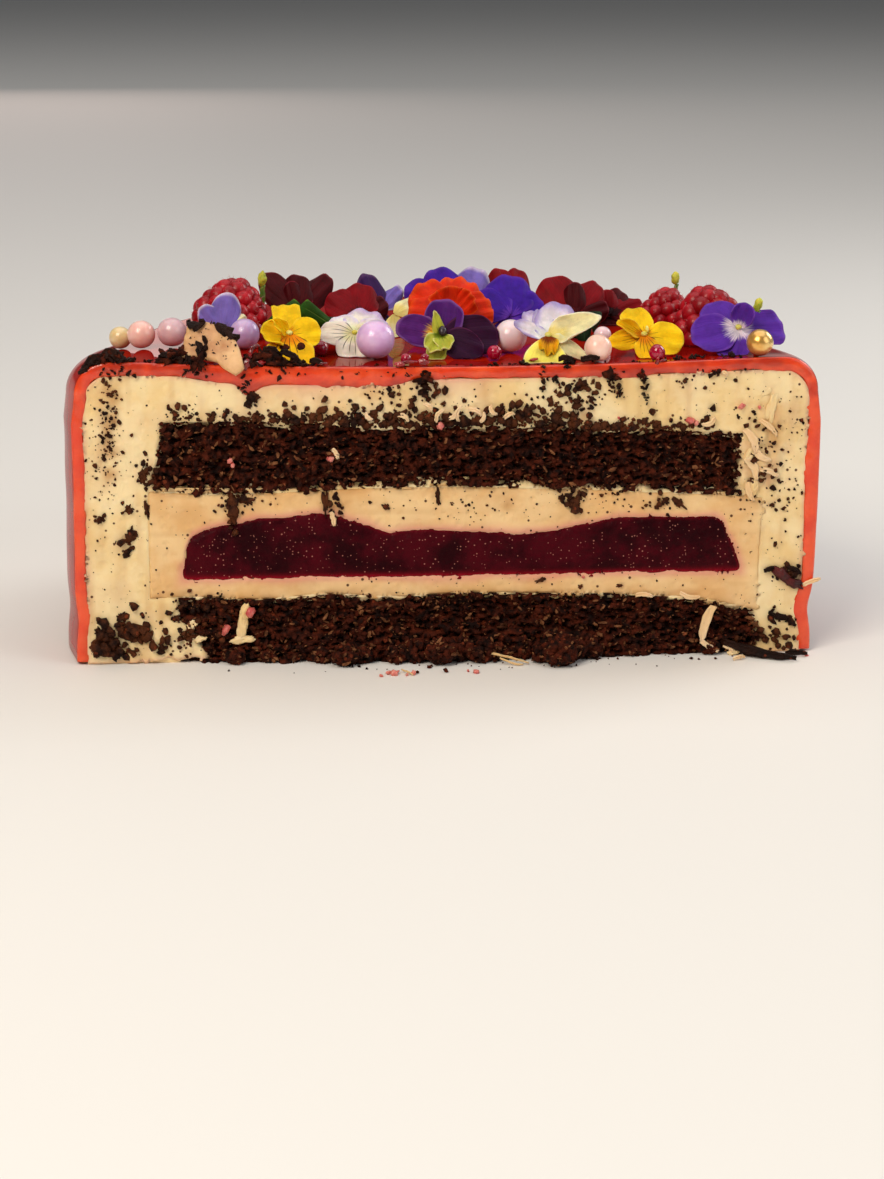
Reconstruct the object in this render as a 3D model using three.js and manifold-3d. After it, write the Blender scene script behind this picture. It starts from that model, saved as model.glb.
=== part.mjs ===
// A glazed mousse cake, cut open a little in front of its middle.
// Seen from the cut: glaze, pale mousse, a sponge, a darker mousse holding a layer of berry
// compote, and a second sponge at the base. Flowers, berries and sugar pearls lie on top.
// Millimetres, +Z up. The round cake's own axis is x = 0, y = 0 and the cut looks towards -Y,
// until the last lines set the origin under the middle of the whole piece.
import * as THREE from "three";
import { mergeVertices } from "three/addons/utils/BufferGeometryUtils.js";
import Module from "manifold-3d";

const wasm = await Module();
wasm.setup();

// ---------- Driving dimensions ----------

const GAP = 0.3; // left between pieces that touch
const CUT_OFFSET = 22; // the knife ran this far in front of the round cake's axis
const CUT_Y = -CUT_OFFSET;

const MOUSSE_RADIUS = 90.3; // what an 18 cm ring moulds
const MOUSSE_HEIGHT = 69.1; // in the middle
const RIM_RISE = 1.9; // how much higher the top stands near its rim
const RIM_RADIUS = 80; // where it has risen that much
const REAR_SLOPE = 0.13; // how steeply the rim then falls off behind the cut
const REAR_REACH = 45; // and over what depth the fall fades out
const EDGE_ROUND = 7.4; // radius of the mousse's top edge

const GLAZE_SIDE = 2.6; // thickness of the glaze down the side
const GLAZE_TOP = 2.8; // and on the top
const GLAZE_BASE = 0.6; // it ends this far above the base
const FOOT_HEIGHT = 11; // the pooled foot of the glaze: its waist stands this high
const FOOT_WAIST = 1.1; // and is drawn in this much

// The layers inside: each has the radius and the middle of its round wall, and the number of
// steps along its level tops.
const UPPER_SPONGE = { radius: 74.4, x: 0.3, steps: 12 };
const INSERT = { radius: 77.7, x: 2.2, steps: 12 };
const COMPOTE = { radius: 71.2, topRadius: 66.4, x: 3.6, steps: 24 };
const LOWER_SPONGE = { radius: 74.2, x: 5.8, steps: 12 };

const ROUND_STEPS = 48; // steps round the glaze and the mousse
const LAYER_STEPS = 36; // steps round the layers inside

const PETAL_THICK = 0.8;
const PEARL_CLEAR = 0.1; // between a pearl and the glaze it lies on
const PETAL_CLEAR = 0.15; // between a petal and the glaze it drapes on
const HEART_RADIUS = 1.4; // the middle of a flower, where its petals join
const MEAN_PETAL = 9; // an ordinary petal's length, which sets the bend between two petals

// ---------- The levels between the layers ----------

const smooth = (low, high, value) => THREE.MathUtils.smoothstep(value, low, high);
const fade = (low, high, value) => 1 - smooth(low, high, value);
const bump = (x, middle, width) => Math.exp(-(((x - middle) / width) ** 2));

// The dish of the top: lowest in the middle, highest near the rim, where it falls off behind
// the cut.
const dish = (x, y) => {
  const rise = RIM_RISE * Math.min(1, (x * x + y * y) / RIM_RADIUS ** 2);
  const fall = REAR_SLOPE * REAR_REACH * (1 - Math.exp(-Math.max(0, y - CUT_Y) / REAR_REACH));
  return rise - fall * Math.min(1, Math.abs(x / RIM_RADIUS)) ** 4;
};

// Each level is a height over x along the cut. The sponges dip to the right.
const upperSpongeTop = (x) => 57.9 - 0.032 * x;
const upperSpongeFoot = (x) => 42.3 - 0.02 * x;
const lowerSpongeTop = (x) => 16 - 5.4 * smooth(42, 78, x);
const compoteTop = (x) => {
  const swell = 2.4 * bump(x, -29, 9);
  const hollows = 3 * bump(x, -13, 7) + 3.2 * bump(x, 14, 15);
  return 34.5 + swell - hollows;
};
const compoteFoot = () => 20.7;

// Height of the glaze's top, which the decoration lies on.
const glazeTop = (x, y) => MOUSSE_HEIGHT + GLAZE_TOP + dish(x, y);

// ---------- Noise with a fixed result ----------

function hash(i, j, seed) {
  const s = Math.sin(i * 127.1 + j * 311.7 + seed * 74.7) * 43758.5453;
  return s - Math.floor(s);
}

// Smooth noise from -1 to 1 with one random value at each whole number.
function noise(x, y, seed) {
  const i = Math.floor(x);
  const j = Math.floor(y);
  const u = smooth(0, 1, x - i);
  const v = smooth(0, 1, y - j);
  const low = THREE.MathUtils.lerp(hash(i, j, seed), hash(i + 1, j, seed), u);
  const high = THREE.MathUtils.lerp(hash(i, j + 1, seed), hash(i + 1, j + 1, seed), u);
  return 2 * THREE.MathUtils.lerp(low, high, v) - 1;
}

// ---------- Solids ----------

// A closed geometry as a solid. Triangles that a merge has flattened to a line are left out.
function solidOf(geometry) {
  const bare = geometry.index ? geometry.toNonIndexed() : geometry.clone();
  for (const name of Object.keys(bare.attributes)) {
    if (name !== "position") bare.deleteAttribute(name);
  }
  const merged = mergeVertices(bare, 1e-3);
  const index = merged.index.array;
  const triVerts = [];
  for (let i = 0; i < index.length; i += 3) {
    const [a, b, c] = index.slice(i, i + 3);
    if (a !== b && b !== c && c !== a) triVerts.push(a, b, c);
  }
  const vertProperties = merged.attributes.position.array;
  return new wasm.Manifold(
    new wasm.Mesh({ numProp: 3, vertProperties, triVerts: new Uint32Array(triVerts) }),
  );
}

// A solid as a named mesh.
function meshOf(name, solid, colour, roughness = 0.6) {
  const mesh = solid.getMesh();
  const geometry = new THREE.BufferGeometry();
  geometry.setAttribute("position", new THREE.BufferAttribute(mesh.vertProperties, 3));
  geometry.setIndex(new THREE.BufferAttribute(mesh.triVerts, 1));
  geometry.computeVertexNormals();
  const material = new THREE.MeshStandardMaterial({ color: colour, roughness, metalness: 0 });
  const made = new THREE.Mesh(geometry, material);
  made.name = name;
  return made;
}

const union = (solids) => solids.reduce((sum, next) => sum.add(next));

// A block with its lowest corner and its size given.
function block(x, y, z, width, depth, height) {
  const geometry = new THREE.BoxGeometry(width, depth, height);
  geometry.translate(x + width / 2, y + depth / 2, z + height / 2);
  return solidOf(geometry);
}

// A profile (radius, height) turned round the cake's axis, then each point moved by shape().
function turned(points, steps, shape = (p) => p) {
  const geometry = new THREE.LatheGeometry(points, steps);
  geometry.rotateX(Math.PI / 2);
  const position = geometry.getAttribute("position");
  const point = new THREE.Vector3();
  for (let i = 0; i < position.count; i += 1) {
    point.fromBufferAttribute(position, i);
    shape(point);
    position.setXYZ(i, point.x, point.y, point.z);
  }
  return solidOf(geometry);
}

const BEFORE_CUT = block(-150, CUT_Y - 150, -50, 300, 150, 200);

// ---------- Glaze and outer mousse ----------

// The round body as a half section with its rounded top edge, grown by offset to the side and
// by rise on the top. footLevels are the heights where its side can be drawn in.
function bodySection({ offset, rise, base, footLevels = [] }) {
  const radius = MOUSSE_RADIUS + offset;
  const round = EDGE_ROUND + offset / 2;
  const height = MOUSSE_HEIGHT + rise;
  const shoulder = radius - 0.8;
  const path = new THREE.Path();
  path.moveTo(0, base);
  path.lineTo(radius, base);
  for (const level of footLevels) path.lineTo(radius, level);
  path.lineTo(radius, height - 2.4 * round);
  path.lineTo(shoulder, height - round);
  path.absarc(shoulder - round, height - round, round, 0, Math.PI / 2);
  for (const share of [0.84, 0.68, 0.45, 0]) path.lineTo(radius * share, height);
  return path.getPoints(2);
}

// The top of both follows the dish, fading out down the side.
function raiseRim(point) {
  const share = smooth(MOUSSE_HEIGHT - 20, MOUSSE_HEIGHT, point.z);
  point.z += share * dish(point.x, point.y);
}

// The side of the glaze is drawn in at a waist above its foot and swells a little at mid height.
function shapeGlazeSide(point) {
  const angle = Math.atan2(point.y, point.x);
  const waist = FOOT_WAIST * bump(point.z, FOOT_HEIGHT, 4) * (0.75 + 0.25 * Math.cos(angle));
  const belly = 0.35 * bump(point.z, 42, 22) * Math.cos(angle);
  const drips = 0.25 * Math.sin(9 * angle) * fade(0, 30, point.z);
  const radius = Math.hypot(point.x, point.y);
  if (radius > MOUSSE_RADIUS - EDGE_ROUND) {
    const scale = (radius - waist + belly + drips) / radius;
    point.x *= scale;
    point.y *= scale;
  }
  raiseRim(point);
}

// A layer: the space between two levels, inside an upright round wall.
// grow widens it all round, to cut its seat in another piece.
function layer({ radius, topRadius = radius, x, steps }, foot, top, grow = 0) {
  const low = foot(x) - 4;
  const high = top(x) + 8;
  const wall = turned(
    [
      new THREE.Vector2(0, low),
      new THREE.Vector2(radius + grow, low),
      new THREE.Vector2(radius + grow, foot(x) + 3),
      new THREE.Vector2(topRadius + grow, top(x)),
      new THREE.Vector2(topRadius + grow, high),
      new THREE.Vector2(0, high),
    ],
    LAYER_STEPS,
  );
  const reach = radius + 5;
  const along = Array.from({ length: steps + 1 }, (_, i) => x + reach * ((2 * i) / steps - 1));
  const outline = new THREE.Shape([
    ...along.map((at) => new THREE.Vector2(at, top(at) + grow)),
    ...along.reverse().map((at) => new THREE.Vector2(at, foot(at) - grow)),
  ]);
  const slab = new THREE.ExtrudeGeometry(outline, { depth: 2 * reach, bevelEnabled: false });
  slab.rotateX(Math.PI / 2);
  slab.translate(0, reach, 0);
  const placed = wall.translate([x, 0, 0]);
  return placed.intersect(solidOf(slab));
}

function makeGlaze() {
  const skin = bodySection({
    offset: GLAZE_SIDE,
    rise: GLAZE_TOP,
    base: GLAZE_BASE,
    footLevels: [FOOT_HEIGHT / 2, FOOT_HEIGHT, FOOT_HEIGHT * 1.7],
  });
  const core = bodySection({ offset: GAP / 2, rise: GAP / 2, base: -1 });
  return turned(skin, ROUND_STEPS, shapeGlazeSide)
    .subtract(turned(core, ROUND_STEPS, raiseRim))
    .subtract(BEFORE_CUT);
}

const belowBase = () => -5;

function makeOuterMousse() {
  const body = bodySection({ offset: -GAP / 2, rise: -GAP / 2, base: 0 });
  return turned(body, ROUND_STEPS, raiseRim)
    .subtract(layer(UPPER_SPONGE, (x) => upperSpongeFoot(x) - 2, upperSpongeTop, GAP))
    .subtract(layer(INSERT, (x) => lowerSpongeTop(x) + GAP, (x) => upperSpongeFoot(x) - GAP, GAP))
    .subtract(layer(LOWER_SPONGE, belowBase, (x) => lowerSpongeTop(x) + 2, GAP))
    .subtract(BEFORE_CUT);
}

// ---------- Sponges ----------

const CRAG = { wide: 6.5, fine: 2.7, wideDepth: 1.1, fineDepth: 0.8 };
const CRAG_CELL = 3.6; // side of the squares that carry the crags

// How far the torn face of a sponge stands behind (+) or before (-) the plane of the cut.
function crags(x, z, seed) {
  const wide = CRAG.wideDepth * noise(x / CRAG.wide, (1.6 * z) / CRAG.wide, seed);
  const fine = CRAG.fineDepth * noise(x / CRAG.fine, (1.6 * z) / CRAG.fine, seed + 9);
  return wide + fine;
}

// The space in front of a torn face between two heights.
function tearingKnife(low, high, swell, seed) {
  const width = 170;
  const depth = 40;
  const height = high - low;
  const across = Math.round(width / CRAG_CELL);
  const up = Math.round(height / CRAG_CELL);
  const geometry = new THREE.BoxGeometry(width, depth, height, across, 1, up);
  const position = geometry.getAttribute("position");
  for (let i = 0; i < position.count; i += 1) {
    const x = position.getX(i);
    const z = position.getZ(i) + (low + high) / 2;
    const torn = position.getY(i) > 0 ? crags(x, z, seed) - swell(x, z) : 0;
    position.setXYZ(i, x, CUT_Y - depth / 2 + position.getY(i) + torn, z);
  }
  return solidOf(geometry);
}

const beforeBulge = block(-150, CUT_Y - 100, -50, 300, 100 - 6, 200);

function makeUpperSponge() {
  return layer(UPPER_SPONGE, upperSpongeFoot, upperSpongeTop)
    .subtract(beforeBulge)
    .subtract(tearingKnife(38, 65, () => 0.4, 3));
}

// Crumbs pressed out at the foot of the lower sponge: place along the cut, how far in front
// of it, and radius.
const CRUMB_LUMPS = [
  [-52, 1.6, 2.4],
  [-26, 2.2, 2.6],
  [-12, 2.4, 2.8],
  [-3, 3.8, 3.2],
  [3.5, 2.6, 3.6],
  [9, 3.6, 2.9],
  [24, 4.4, 3.9],
  [30.5, 2.8, 2.8],
  [65, 1.8, 2.4],
];

function makeLowerSponge() {
  const pressedOut = (x, z) => 0.4 + 1.9 * fade(2, 9, z) * fade(20, 62, Math.abs(x));
  const sponge = layer(LOWER_SPONGE, belowBase, lowerSpongeTop)
    .subtract(beforeBulge)
    .subtract(tearingKnife(-6, 21, pressedOut, 5));
  const lumps = CRUMB_LUMPS.map(([x, before, radius], i) => {
    const geometry = new THREE.IcosahedronGeometry(radius, radius > 3 ? 1 : 0);
    geometry.rotateX(i);
    geometry.rotateZ(2.4 * i);
    geometry.translate(x, CUT_Y - before, radius * 0.75);
    return solidOf(geometry);
  });
  const underBase = block(-150, -150, -50, 300, 300, 50);
  return union([sponge, ...lumps]).subtract(underBase);
}

// ---------- Insert ----------

function makeInsertMousse() {
  return layer(INSERT, (x) => lowerSpongeTop(x) + GAP, (x) => upperSpongeFoot(x) - GAP)
    .subtract(layer(COMPOTE, compoteFoot, compoteTop, GAP))
    .subtract(BEFORE_CUT);
}

function makeCompote() {
  return layer(COMPOTE, compoteFoot, compoteTop).subtract(BEFORE_CUT);
}

// A flake of mousse that the knife lifted onto the front edge. It leans back on the glaze, and
// its right end hangs over the cut.
const FLAKE = { x: -56.5, y: CUT_Y - 0.2, lean: 0.5, turn: -0.26, thick: 2.4 };

function makeFlake() {
  const outline = new THREE.Shape([
    new THREE.Vector2(-7.8, 0.9),
    new THREE.Vector2(-6.7, 9.8),
    new THREE.Vector2(-2.5, 10.2),
    new THREE.Vector2(4.7, 6.9),
    new THREE.Vector2(7.8, -0.9),
    new THREE.Vector2(6, -2.8),
    new THREE.Vector2(2.4, -0.9),
    new THREE.Vector2(1.2, 0.5),
  ]);
  const geometry = new THREE.ExtrudeGeometry(outline, {
    depth: FLAKE.thick - 1,
    bevelSize: 0.5,
    bevelThickness: 0.5,
    bevelSegments: 1,
    bevelOffset: -0.5,
  });
  geometry.rotateX(Math.PI / 2 - FLAKE.lean);
  geometry.rotateZ(FLAKE.turn);
  geometry.translate(FLAKE.x, FLAKE.y, glazeTop(FLAKE.x, FLAKE.y) + 0.1);
  return solidOf(geometry);
}

// ---------- Sugar pearls ----------

// back is the distance behind the cut.
const PEARLS = [
  { name: "pearl_cream", x: -78.9, back: 39.4, radius: 2.8, colour: 0xe9dc9c },
  { name: "pearl_pink", x: -73.6, back: 35, radius: 3.5, colour: 0xf2b9b4 },
  { name: "pearl_rose_grey", x: -66, back: 34, radius: 3.7, colour: 0xd9bccb },
  { name: "pearl_lilac", x: -48.2, back: 26.8, radius: 3.8, colour: 0xb7a0dc },
  { name: "pearl_lilac_large", x: -17, back: 11.6, radius: 4.8, colour: 0xdcb4e0 },
  { name: "pearl_white_pink", x: 17.1, back: 20.4, radius: 4.1, colour: 0xf1dbe8 },
  { name: "pearl_blush", x: 36.2, back: 3.2, radius: 3.3, colour: 0xf6cfc8 },
  { name: "pearl_white", x: 41.6, back: 31, radius: 2.2, colour: 0xf4e9e4 },
  { name: "pearl_gold", x: 75.7, back: 3.2, radius: 3.3, colour: 0xc79a35 },
];
const BERRY_BEADS = [
  { name: "bead_left", x: -30, back: 16.5, radius: 1.9, colour: 0xa00a30 },
  { name: "bead_middle", x: 11.8, back: 9.2, radius: 1.8, colour: 0xa00a3c },
  { name: "bead_right", x: 50.3, back: 1.8, radius: 2, colour: 0x8c0830 },
  { name: "bead_drop_left", x: -10.3, back: 2.6, radius: 1.5, colour: 0xb80a20 },
  { name: "bead_drop_right", x: -5.4, back: 6.4, radius: 1.2, colour: 0xb80a20 },
];

function makePearl({ x, back, radius }) {
  const y = CUT_Y + back;
  const detail = (radius > 1.5) + (radius > 3.6);
  const geometry = new THREE.IcosahedronGeometry(radius, detail);
  geometry.translate(x, y, glazeTop(x, y) + radius + PEARL_CLEAR);
  return solidOf(geometry);
}

// ---------- Raspberries ----------

const RASPBERRIES = [
  { name: "raspberry_left", x: -53.2, back: 45.5, radius: 9.1, height: 15.6, lean: 0.2 },
  { name: "raspberry_right", x: 70.4, back: 32, radius: 8.3, height: 15, lean: -0.15 },
  { name: "raspberry_behind", x: 58, back: 45, radius: 6.6, height: 12.8, lean: 0.2, detail: 3 },
];
const DRUPELETS = 46; // on the whole of a raspberry
const DRUPELET_SWELL = 0.13; // how far each stands out, as a share of the radius

// Directions spread evenly over a sphere, in a spiral.
function spiralDirections(count) {
  const golden = Math.PI * (3 - Math.sqrt(5));
  return Array.from({ length: count }, (_, i) => {
    const z = 1 - (2 * i + 1) / count;
    const r = Math.sqrt(1 - z * z);
    return new THREE.Vector3(r * Math.cos(i * golden), r * Math.sin(i * golden), z);
  });
}

// A blunt cone covered with drupelets, standing on its flattened open end.
function makeRaspberry({ x, back, radius, height, lean, detail = 4 }) {
  const y = CUT_Y + back;
  const centres = spiralDirections(DRUPELETS);
  const spacing = Math.sqrt((4 * Math.PI) / DRUPELETS) / 2;
  const geometry = new THREE.IcosahedronGeometry(1, detail);
  const position = geometry.getAttribute("position");
  const way = new THREE.Vector3();
  const base = glazeTop(x, y) + PEARL_CLEAR;
  const tilt = new THREE.Matrix4().makeRotationY(lean);
  for (let i = 0; i < position.count; i += 1) {
    way.fromBufferAttribute(position, i).normalize();
    const nearest = Math.min(...centres.map((c) => c.angleTo(way)));
    const swell = 1 + DRUPELET_SWELL * (1 - (nearest / spacing) ** 2);
    const taper = 1 - 0.28 * smooth(-0.2, 1, way.z);
    way.set(
      way.x * radius * taper * 0.92 * swell,
      way.y * radius * taper * 0.92 * swell,
      (0.38 + 0.56 * way.z * swell) * height,
    );
    way.applyMatrix4(tilt);
    const rest = glazeTop(way.x + x, way.y + y) + PEARL_CLEAR;
    position.setXYZ(i, way.x + x, way.y + y, Math.max(way.z + base, rest));
  }
  return solidOf(geometry);
}

// ---------- Petals ----------

// How far a flower reaches from its heart in one direction, and how that place lies on its
// petal. A petal has its direction clockwise from up, its length and width, and how far it
// folds towards the viewer, in degrees and millimetres.
function reachAt(direction, { petals, bluntness = 0.5 }) {
  const reach = { radius: HEART_RADIUS, fold: 0, across: 1, length: MEAN_PETAL };
  let weights = 1e-6;
  for (const [middle, length, width, fold = 0] of petals) {
    const away = THREE.MathUtils.euclideanModulo(direction - middle + 180, 360) - 180;
    const spread = 1.5 * THREE.MathUtils.radToDeg(Math.atan2(width / 2, 0.6 * length));
    const across = Math.min(1, Math.abs(away) / spread);
    const radius = length * Math.cos((Math.PI / 2) * across) ** bluntness;
    const weight = radius ** 4;
    weights += weight;
    reach.fold += weight * fold;
    if (radius > reach.radius) Object.assign(reach, { radius, across, length });
  }
  reach.fold /= weights;
  return reach;
}

// The middle surface of a flower or a pair of leaves: one wavy sheet with a lobe for each
// petal. It faces +Z, and its petals are cupped, curled back and ruffled at the rim.
function flowerSurface(flower) {
  const { around = 32, rings = 3, cup = 0.8, curl = -1, ruffle = 0.4 } = flower;
  const geometry = new THREE.PlaneGeometry(1, 1, around, rings);
  const position = geometry.getAttribute("position");
  for (let i = 0; i < position.count; i += 1) {
    const direction = 360 * (position.getX(i) + 0.5);
    const share = position.getY(i) + 0.5;
    const { radius, fold, across, length } = reachAt(direction, flower);
    const along = (share * radius) / length;
    const level = share * radius * Math.cos(THREE.MathUtils.degToRad(fold));
    const angle = THREE.MathUtils.degToRad(direction);
    const rim = ruffle * share * share * Math.sin(5.5 * angle);
    const bend = cup * across * across * share + curl * along * along + rim;
    const rise = share * radius * Math.sin(THREE.MathUtils.degToRad(fold)) + bend;
    position.setXYZ(i, level * Math.sin(angle), level * Math.cos(angle), rise);
  }
  return geometry;
}

// Where a flower sits. lean is how far its face looks up from level and turn how far it looks
// aside, both in degrees, and lift is the height of its heart above the glaze.
function flowerPlace({ x, back, lift, lean, turn = 0 }) {
  const y = CUT_Y + back;
  const place = new THREE.Matrix4().makeTranslation(x, y, glazeTop(x, y) + lift);
  place.multiply(new THREE.Matrix4().makeRotationZ(THREE.MathUtils.degToRad(turn)));
  place.multiply(new THREE.Matrix4().makeRotationX(THREE.MathUtils.degToRad(90 - lean)));
  return place;
}

// Petals drape on the glaze instead of passing into it. way is the direction the flower faces.
function drape(surface, way) {
  const clear = (way.z * PETAL_THICK) / 2 + PETAL_CLEAR;
  const position = surface.getAttribute("position");
  for (let i = 0; i < position.count; i += 1) {
    const floor = glazeTop(position.getX(i), position.getY(i)) + clear;
    if (position.getZ(i) < floor) position.setZ(i, floor);
  }
}

// A surface thickened to a closed blade, half before it and half behind it along way. Both
// faces are split into triangles alike.
function bladeOf(surface, way) {
  surface.deleteAttribute("normal");
  surface.deleteAttribute("uv");
  const merged = mergeVertices(surface, 1e-3);
  const triangles = [];
  for (let i = 0; i < merged.index.count; i += 3) {
    const [a, b, c] = merged.index.array.slice(i, i + 3);
    if (a !== b && b !== c && c !== a) triangles.push([a, b, c]);
  }
  const count = merged.attributes.position.count;
  const point = new THREE.Vector3();
  const points = [];
  for (const push of [PETAL_THICK / 2, -PETAL_THICK / 2]) {
    for (let i = 0; i < count; i += 1) {
      point.fromBufferAttribute(merged.attributes.position, i).addScaledVector(way, push);
      points.push(point.x, point.y, point.z);
    }
  }
  const edges = triangles.flatMap(([a, b, c]) => [
    [a, b],
    [b, c],
    [c, a],
  ]);
  const paired = new Set(edges.map(String));
  const rim = edges.filter(([a, b]) => !paired.has(String([b, a])));
  const faces = [
    ...triangles.flat(),
    ...triangles.flatMap(([a, b, c]) => [a + count, c + count, b + count]),
    ...rim.flatMap(([b, a]) => [a, b, b + count, a, b + count, a + count]),
  ];
  const geometry = new THREE.BufferGeometry();
  geometry.setAttribute("position", new THREE.Float32BufferAttribute(points, 3));
  geometry.setIndex(faces);
  return solidOf(geometry);
}

function makeFlower(flower) {
  const surface = flowerSurface(flower);
  const place = flowerPlace(flower);
  const way = new THREE.Vector3(0, 0, 1).transformDirection(place);
  surface.applyMatrix4(place);
  drape(surface, way);
  return bladeOf(surface, way);
}

const BACK_ROW = { around: 26, rings: 2 }; // flowers that stand behind others are coarser

const FLOWERS = [
  {
    name: "viola_yellow_left",
    colour: 0xf6c400,
    x: -38,
    back: 10,
    lift: 6,
    lean: 34,
    petals: [
      [-6, 9.6, 7],
      [-94, 7.2, 6.4, 12],
      [84, 7.4, 7.4, 10],
      [180, 11, 11, 14],
    ],
  },
  {
    name: "viola_cream",
    colour: 0xf0e4cf,
    x: -21.6,
    back: 20.8,
    lift: 4.6,
    lean: 44,
    petals: [
      [-46, 7.4, 7.4],
      [34, 11, 10],
      [-88, 8, 6.6, 8],
      [84, 8.6, 7.6, 8],
      [180, 8.4, 8, 6],
    ],
  },
  {
    name: "viola_purple",
    colour: 0x3c1060,
    x: -1,
    back: 15,
    lift: 5,
    lean: 38,
    petals: [
      [10, 10, 9.4],
      [-78, 10.6, 8.2, 14],
      [86, 14.4, 9],
      [122, 10, 8, 10],
      [-160, 8.4, 6, 8],
    ],
  },
  {
    name: "viola_white_lilac",
    colour: 0xe9dcf0,
    x: 24.6,
    back: 9,
    lift: 5.2,
    lean: 38,
    petals: [
      [-32, 10, 8.4],
      [20, 12, 9.6],
      [68, 13.8, 8],
      [116, 9.8, 6, 12],
      [-164, 9.4, 10.6, 8],
    ],
  },
  {
    name: "viola_yellow_right",
    colour: 0xf4c000,
    x: 48.6,
    back: 12,
    lift: 4.6,
    lean: 40,
    petals: [
      [-10, 9.8, 7.4],
      [98, 8.8, 8.6, 10],
      [-106, 8.6, 5.6, 10],
      [178, 8.6, 7.6, 6],
    ],
  },
  {
    name: "viola_blue",
    colour: 0x4427a8,
    x: 72,
    back: 12.5,
    lift: 6,
    lean: 38,
    petals: [
      [-104, 11.6, 9.6, 8],
      [-44, 10, 9.6],
      [20, 7.8, 8],
      [82, 12.2, 9, -8],
      [-164, 9.6, 8.6, 4],
    ],
  },
  {
    name: "pansy_orange",
    colour: 0xf03410,
    x: 3.6,
    back: 35.5,
    lift: 7.4,
    lean: 34,
    cup: -1.6,
    curl: -2.4,
    ruffle: 0.9,
    petals: [
      [-84, 10.4, 11, 8],
      [-34, 12.6, 12],
      [26, 12.6, 12],
      [78, 10.6, 11, 8],
      [180, 10, 10, 14],
    ],
  },
  {
    name: "viola_blue_behind",
    colour: 0x3a22a0,
    x: 19.8,
    back: 47,
    lift: 5,
    lean: 36,
    cup: -1.2,
    ...BACK_ROW,
    petals: [
      [-56, 9.4, 9.6],
      [0, 12.8, 11.4],
      [56, 8.6, 9],
      [180, 8.6, 8, 6],
    ],
  },
  {
    name: "viola_violet_behind",
    colour: 0x5a3cc0,
    x: 7.6,
    back: 57,
    lift: 5,
    lean: 36,
    ...BACK_ROW,
    petals: [
      [-62, 14, 8],
      [-20, 14, 9],
      [30, 15.2, 9.4],
      [180, 7.8, 7, 6],
    ],
  },
  {
    name: "viola_dark_behind",
    colour: 0x35205e,
    x: -12.6,
    back: 57.5,
    lift: 5,
    lean: 36,
    ...BACK_ROW,
    petals: [
      [-16, 11.6, 6.4],
      [40, 9.4, 4.4],
      [180, 7.6, 6, 6],
    ],
  },
  {
    name: "petal_cream",
    colour: 0xefe6c8,
    x: -9.6,
    back: 49,
    lift: 5.4,
    lean: 38,
    ...BACK_ROW,
    petals: [
      [56, 9.4, 5.6],
      [180, 7.8, 4.6, 14],
    ],
  },
  {
    name: "viola_lilac",
    colour: 0x9a82d6,
    x: -54,
    back: 32,
    lift: 3.4,
    lean: 18,
    cup: -0.8,
    curl: -0.6,
    ...BACK_ROW,
    petals: [
      [-18, 8.8, 8.4],
      [56, 7, 4.6],
      [180, 5.6, 5, 6],
    ],
  },
  {
    name: "red_blossom_left",
    colour: 0x780818,
    x: -34,
    back: 56,
    lift: 5.2,
    lean: 34,
    cup: -1.4,
    ...BACK_ROW,
    petals: [
      [-36, 14, 8.4],
      [4, 10, 9],
      [38, 14, 7],
      [180, 6.8, 7, 20],
    ],
  },
  {
    name: "red_petals_middle",
    colour: 0xb80a18,
    x: -19,
    back: 48,
    lift: 5,
    lean: 36,
    cup: -1.8,
    ...BACK_ROW,
    petals: [
      [-40, 9.8, 9],
      [8, 9.6, 9],
      [52, 9.2, 7],
      [180, 7, 6, 20],
    ],
  },
  {
    name: "red_blossom_right",
    colour: 0xa80818,
    x: 37,
    back: 50,
    lift: 4.4,
    lean: 34,
    cup: -1.6,
    ...BACK_ROW,
    petals: [
      [-28, 12.6, 12],
      [34, 12.2, 8.4],
      [72, 9.4, 6],
      [180, 6, 7, 20],
    ],
  },
  {
    name: "red_petals_behind",
    colour: 0xb00a20,
    x: 22.4,
    back: 62,
    lift: 4.4,
    lean: 34,
    cup: -1.6,
    ...BACK_ROW,
    petals: [
      [-14, 12.8, 7.6],
      [20, 12.8, 7.6],
      [180, 5.4, 7, 20],
    ],
  },
  {
    name: "red_blossom_low",
    colour: 0x8c0814,
    x: 48,
    back: 61,
    lift: 2.8,
    lean: 36,
    cup: -1.4,
    ...BACK_ROW,
    petals: [
      [-34, 8.2, 8],
      [24, 8.8, 8],
      [66, 9.8, 7],
      [180, 4.2, 6, 20],
    ],
  },
];

const LEAVES = [
  {
    name: "leaf_arched",
    colour: 0x1c4a12,
    x: -34.6,
    back: 37,
    lift: 8,
    lean: 20,
    petals: [
      [-132, 11, 6],
      [132, 11, 6],
    ],
  },
  {
    name: "leaf_dark",
    colour: 0x1d3a1c,
    x: 37.6,
    back: 38,
    lift: 4.4,
    lean: 46,
    petals: [
      [-84, 7.6, 5.4],
      [44, 6.8, 5.4],
      [180, 5.8, 4],
    ],
  },
  {
    name: "leaf_small",
    colour: 0x16301a,
    x: -23.6,
    back: 39.5,
    lift: 4.2,
    lean: 46,
    petals: [
      [-58, 7, 5.2],
      [50, 7.4, 5.2],
      [180, 5.6, 4],
    ],
  },
];

const LEAF_FORM = { around: 24, rings: 2, cup: -0.6, curl: -2.2, bluntness: 1.1 };

// ---------- The whole cake ----------

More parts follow.
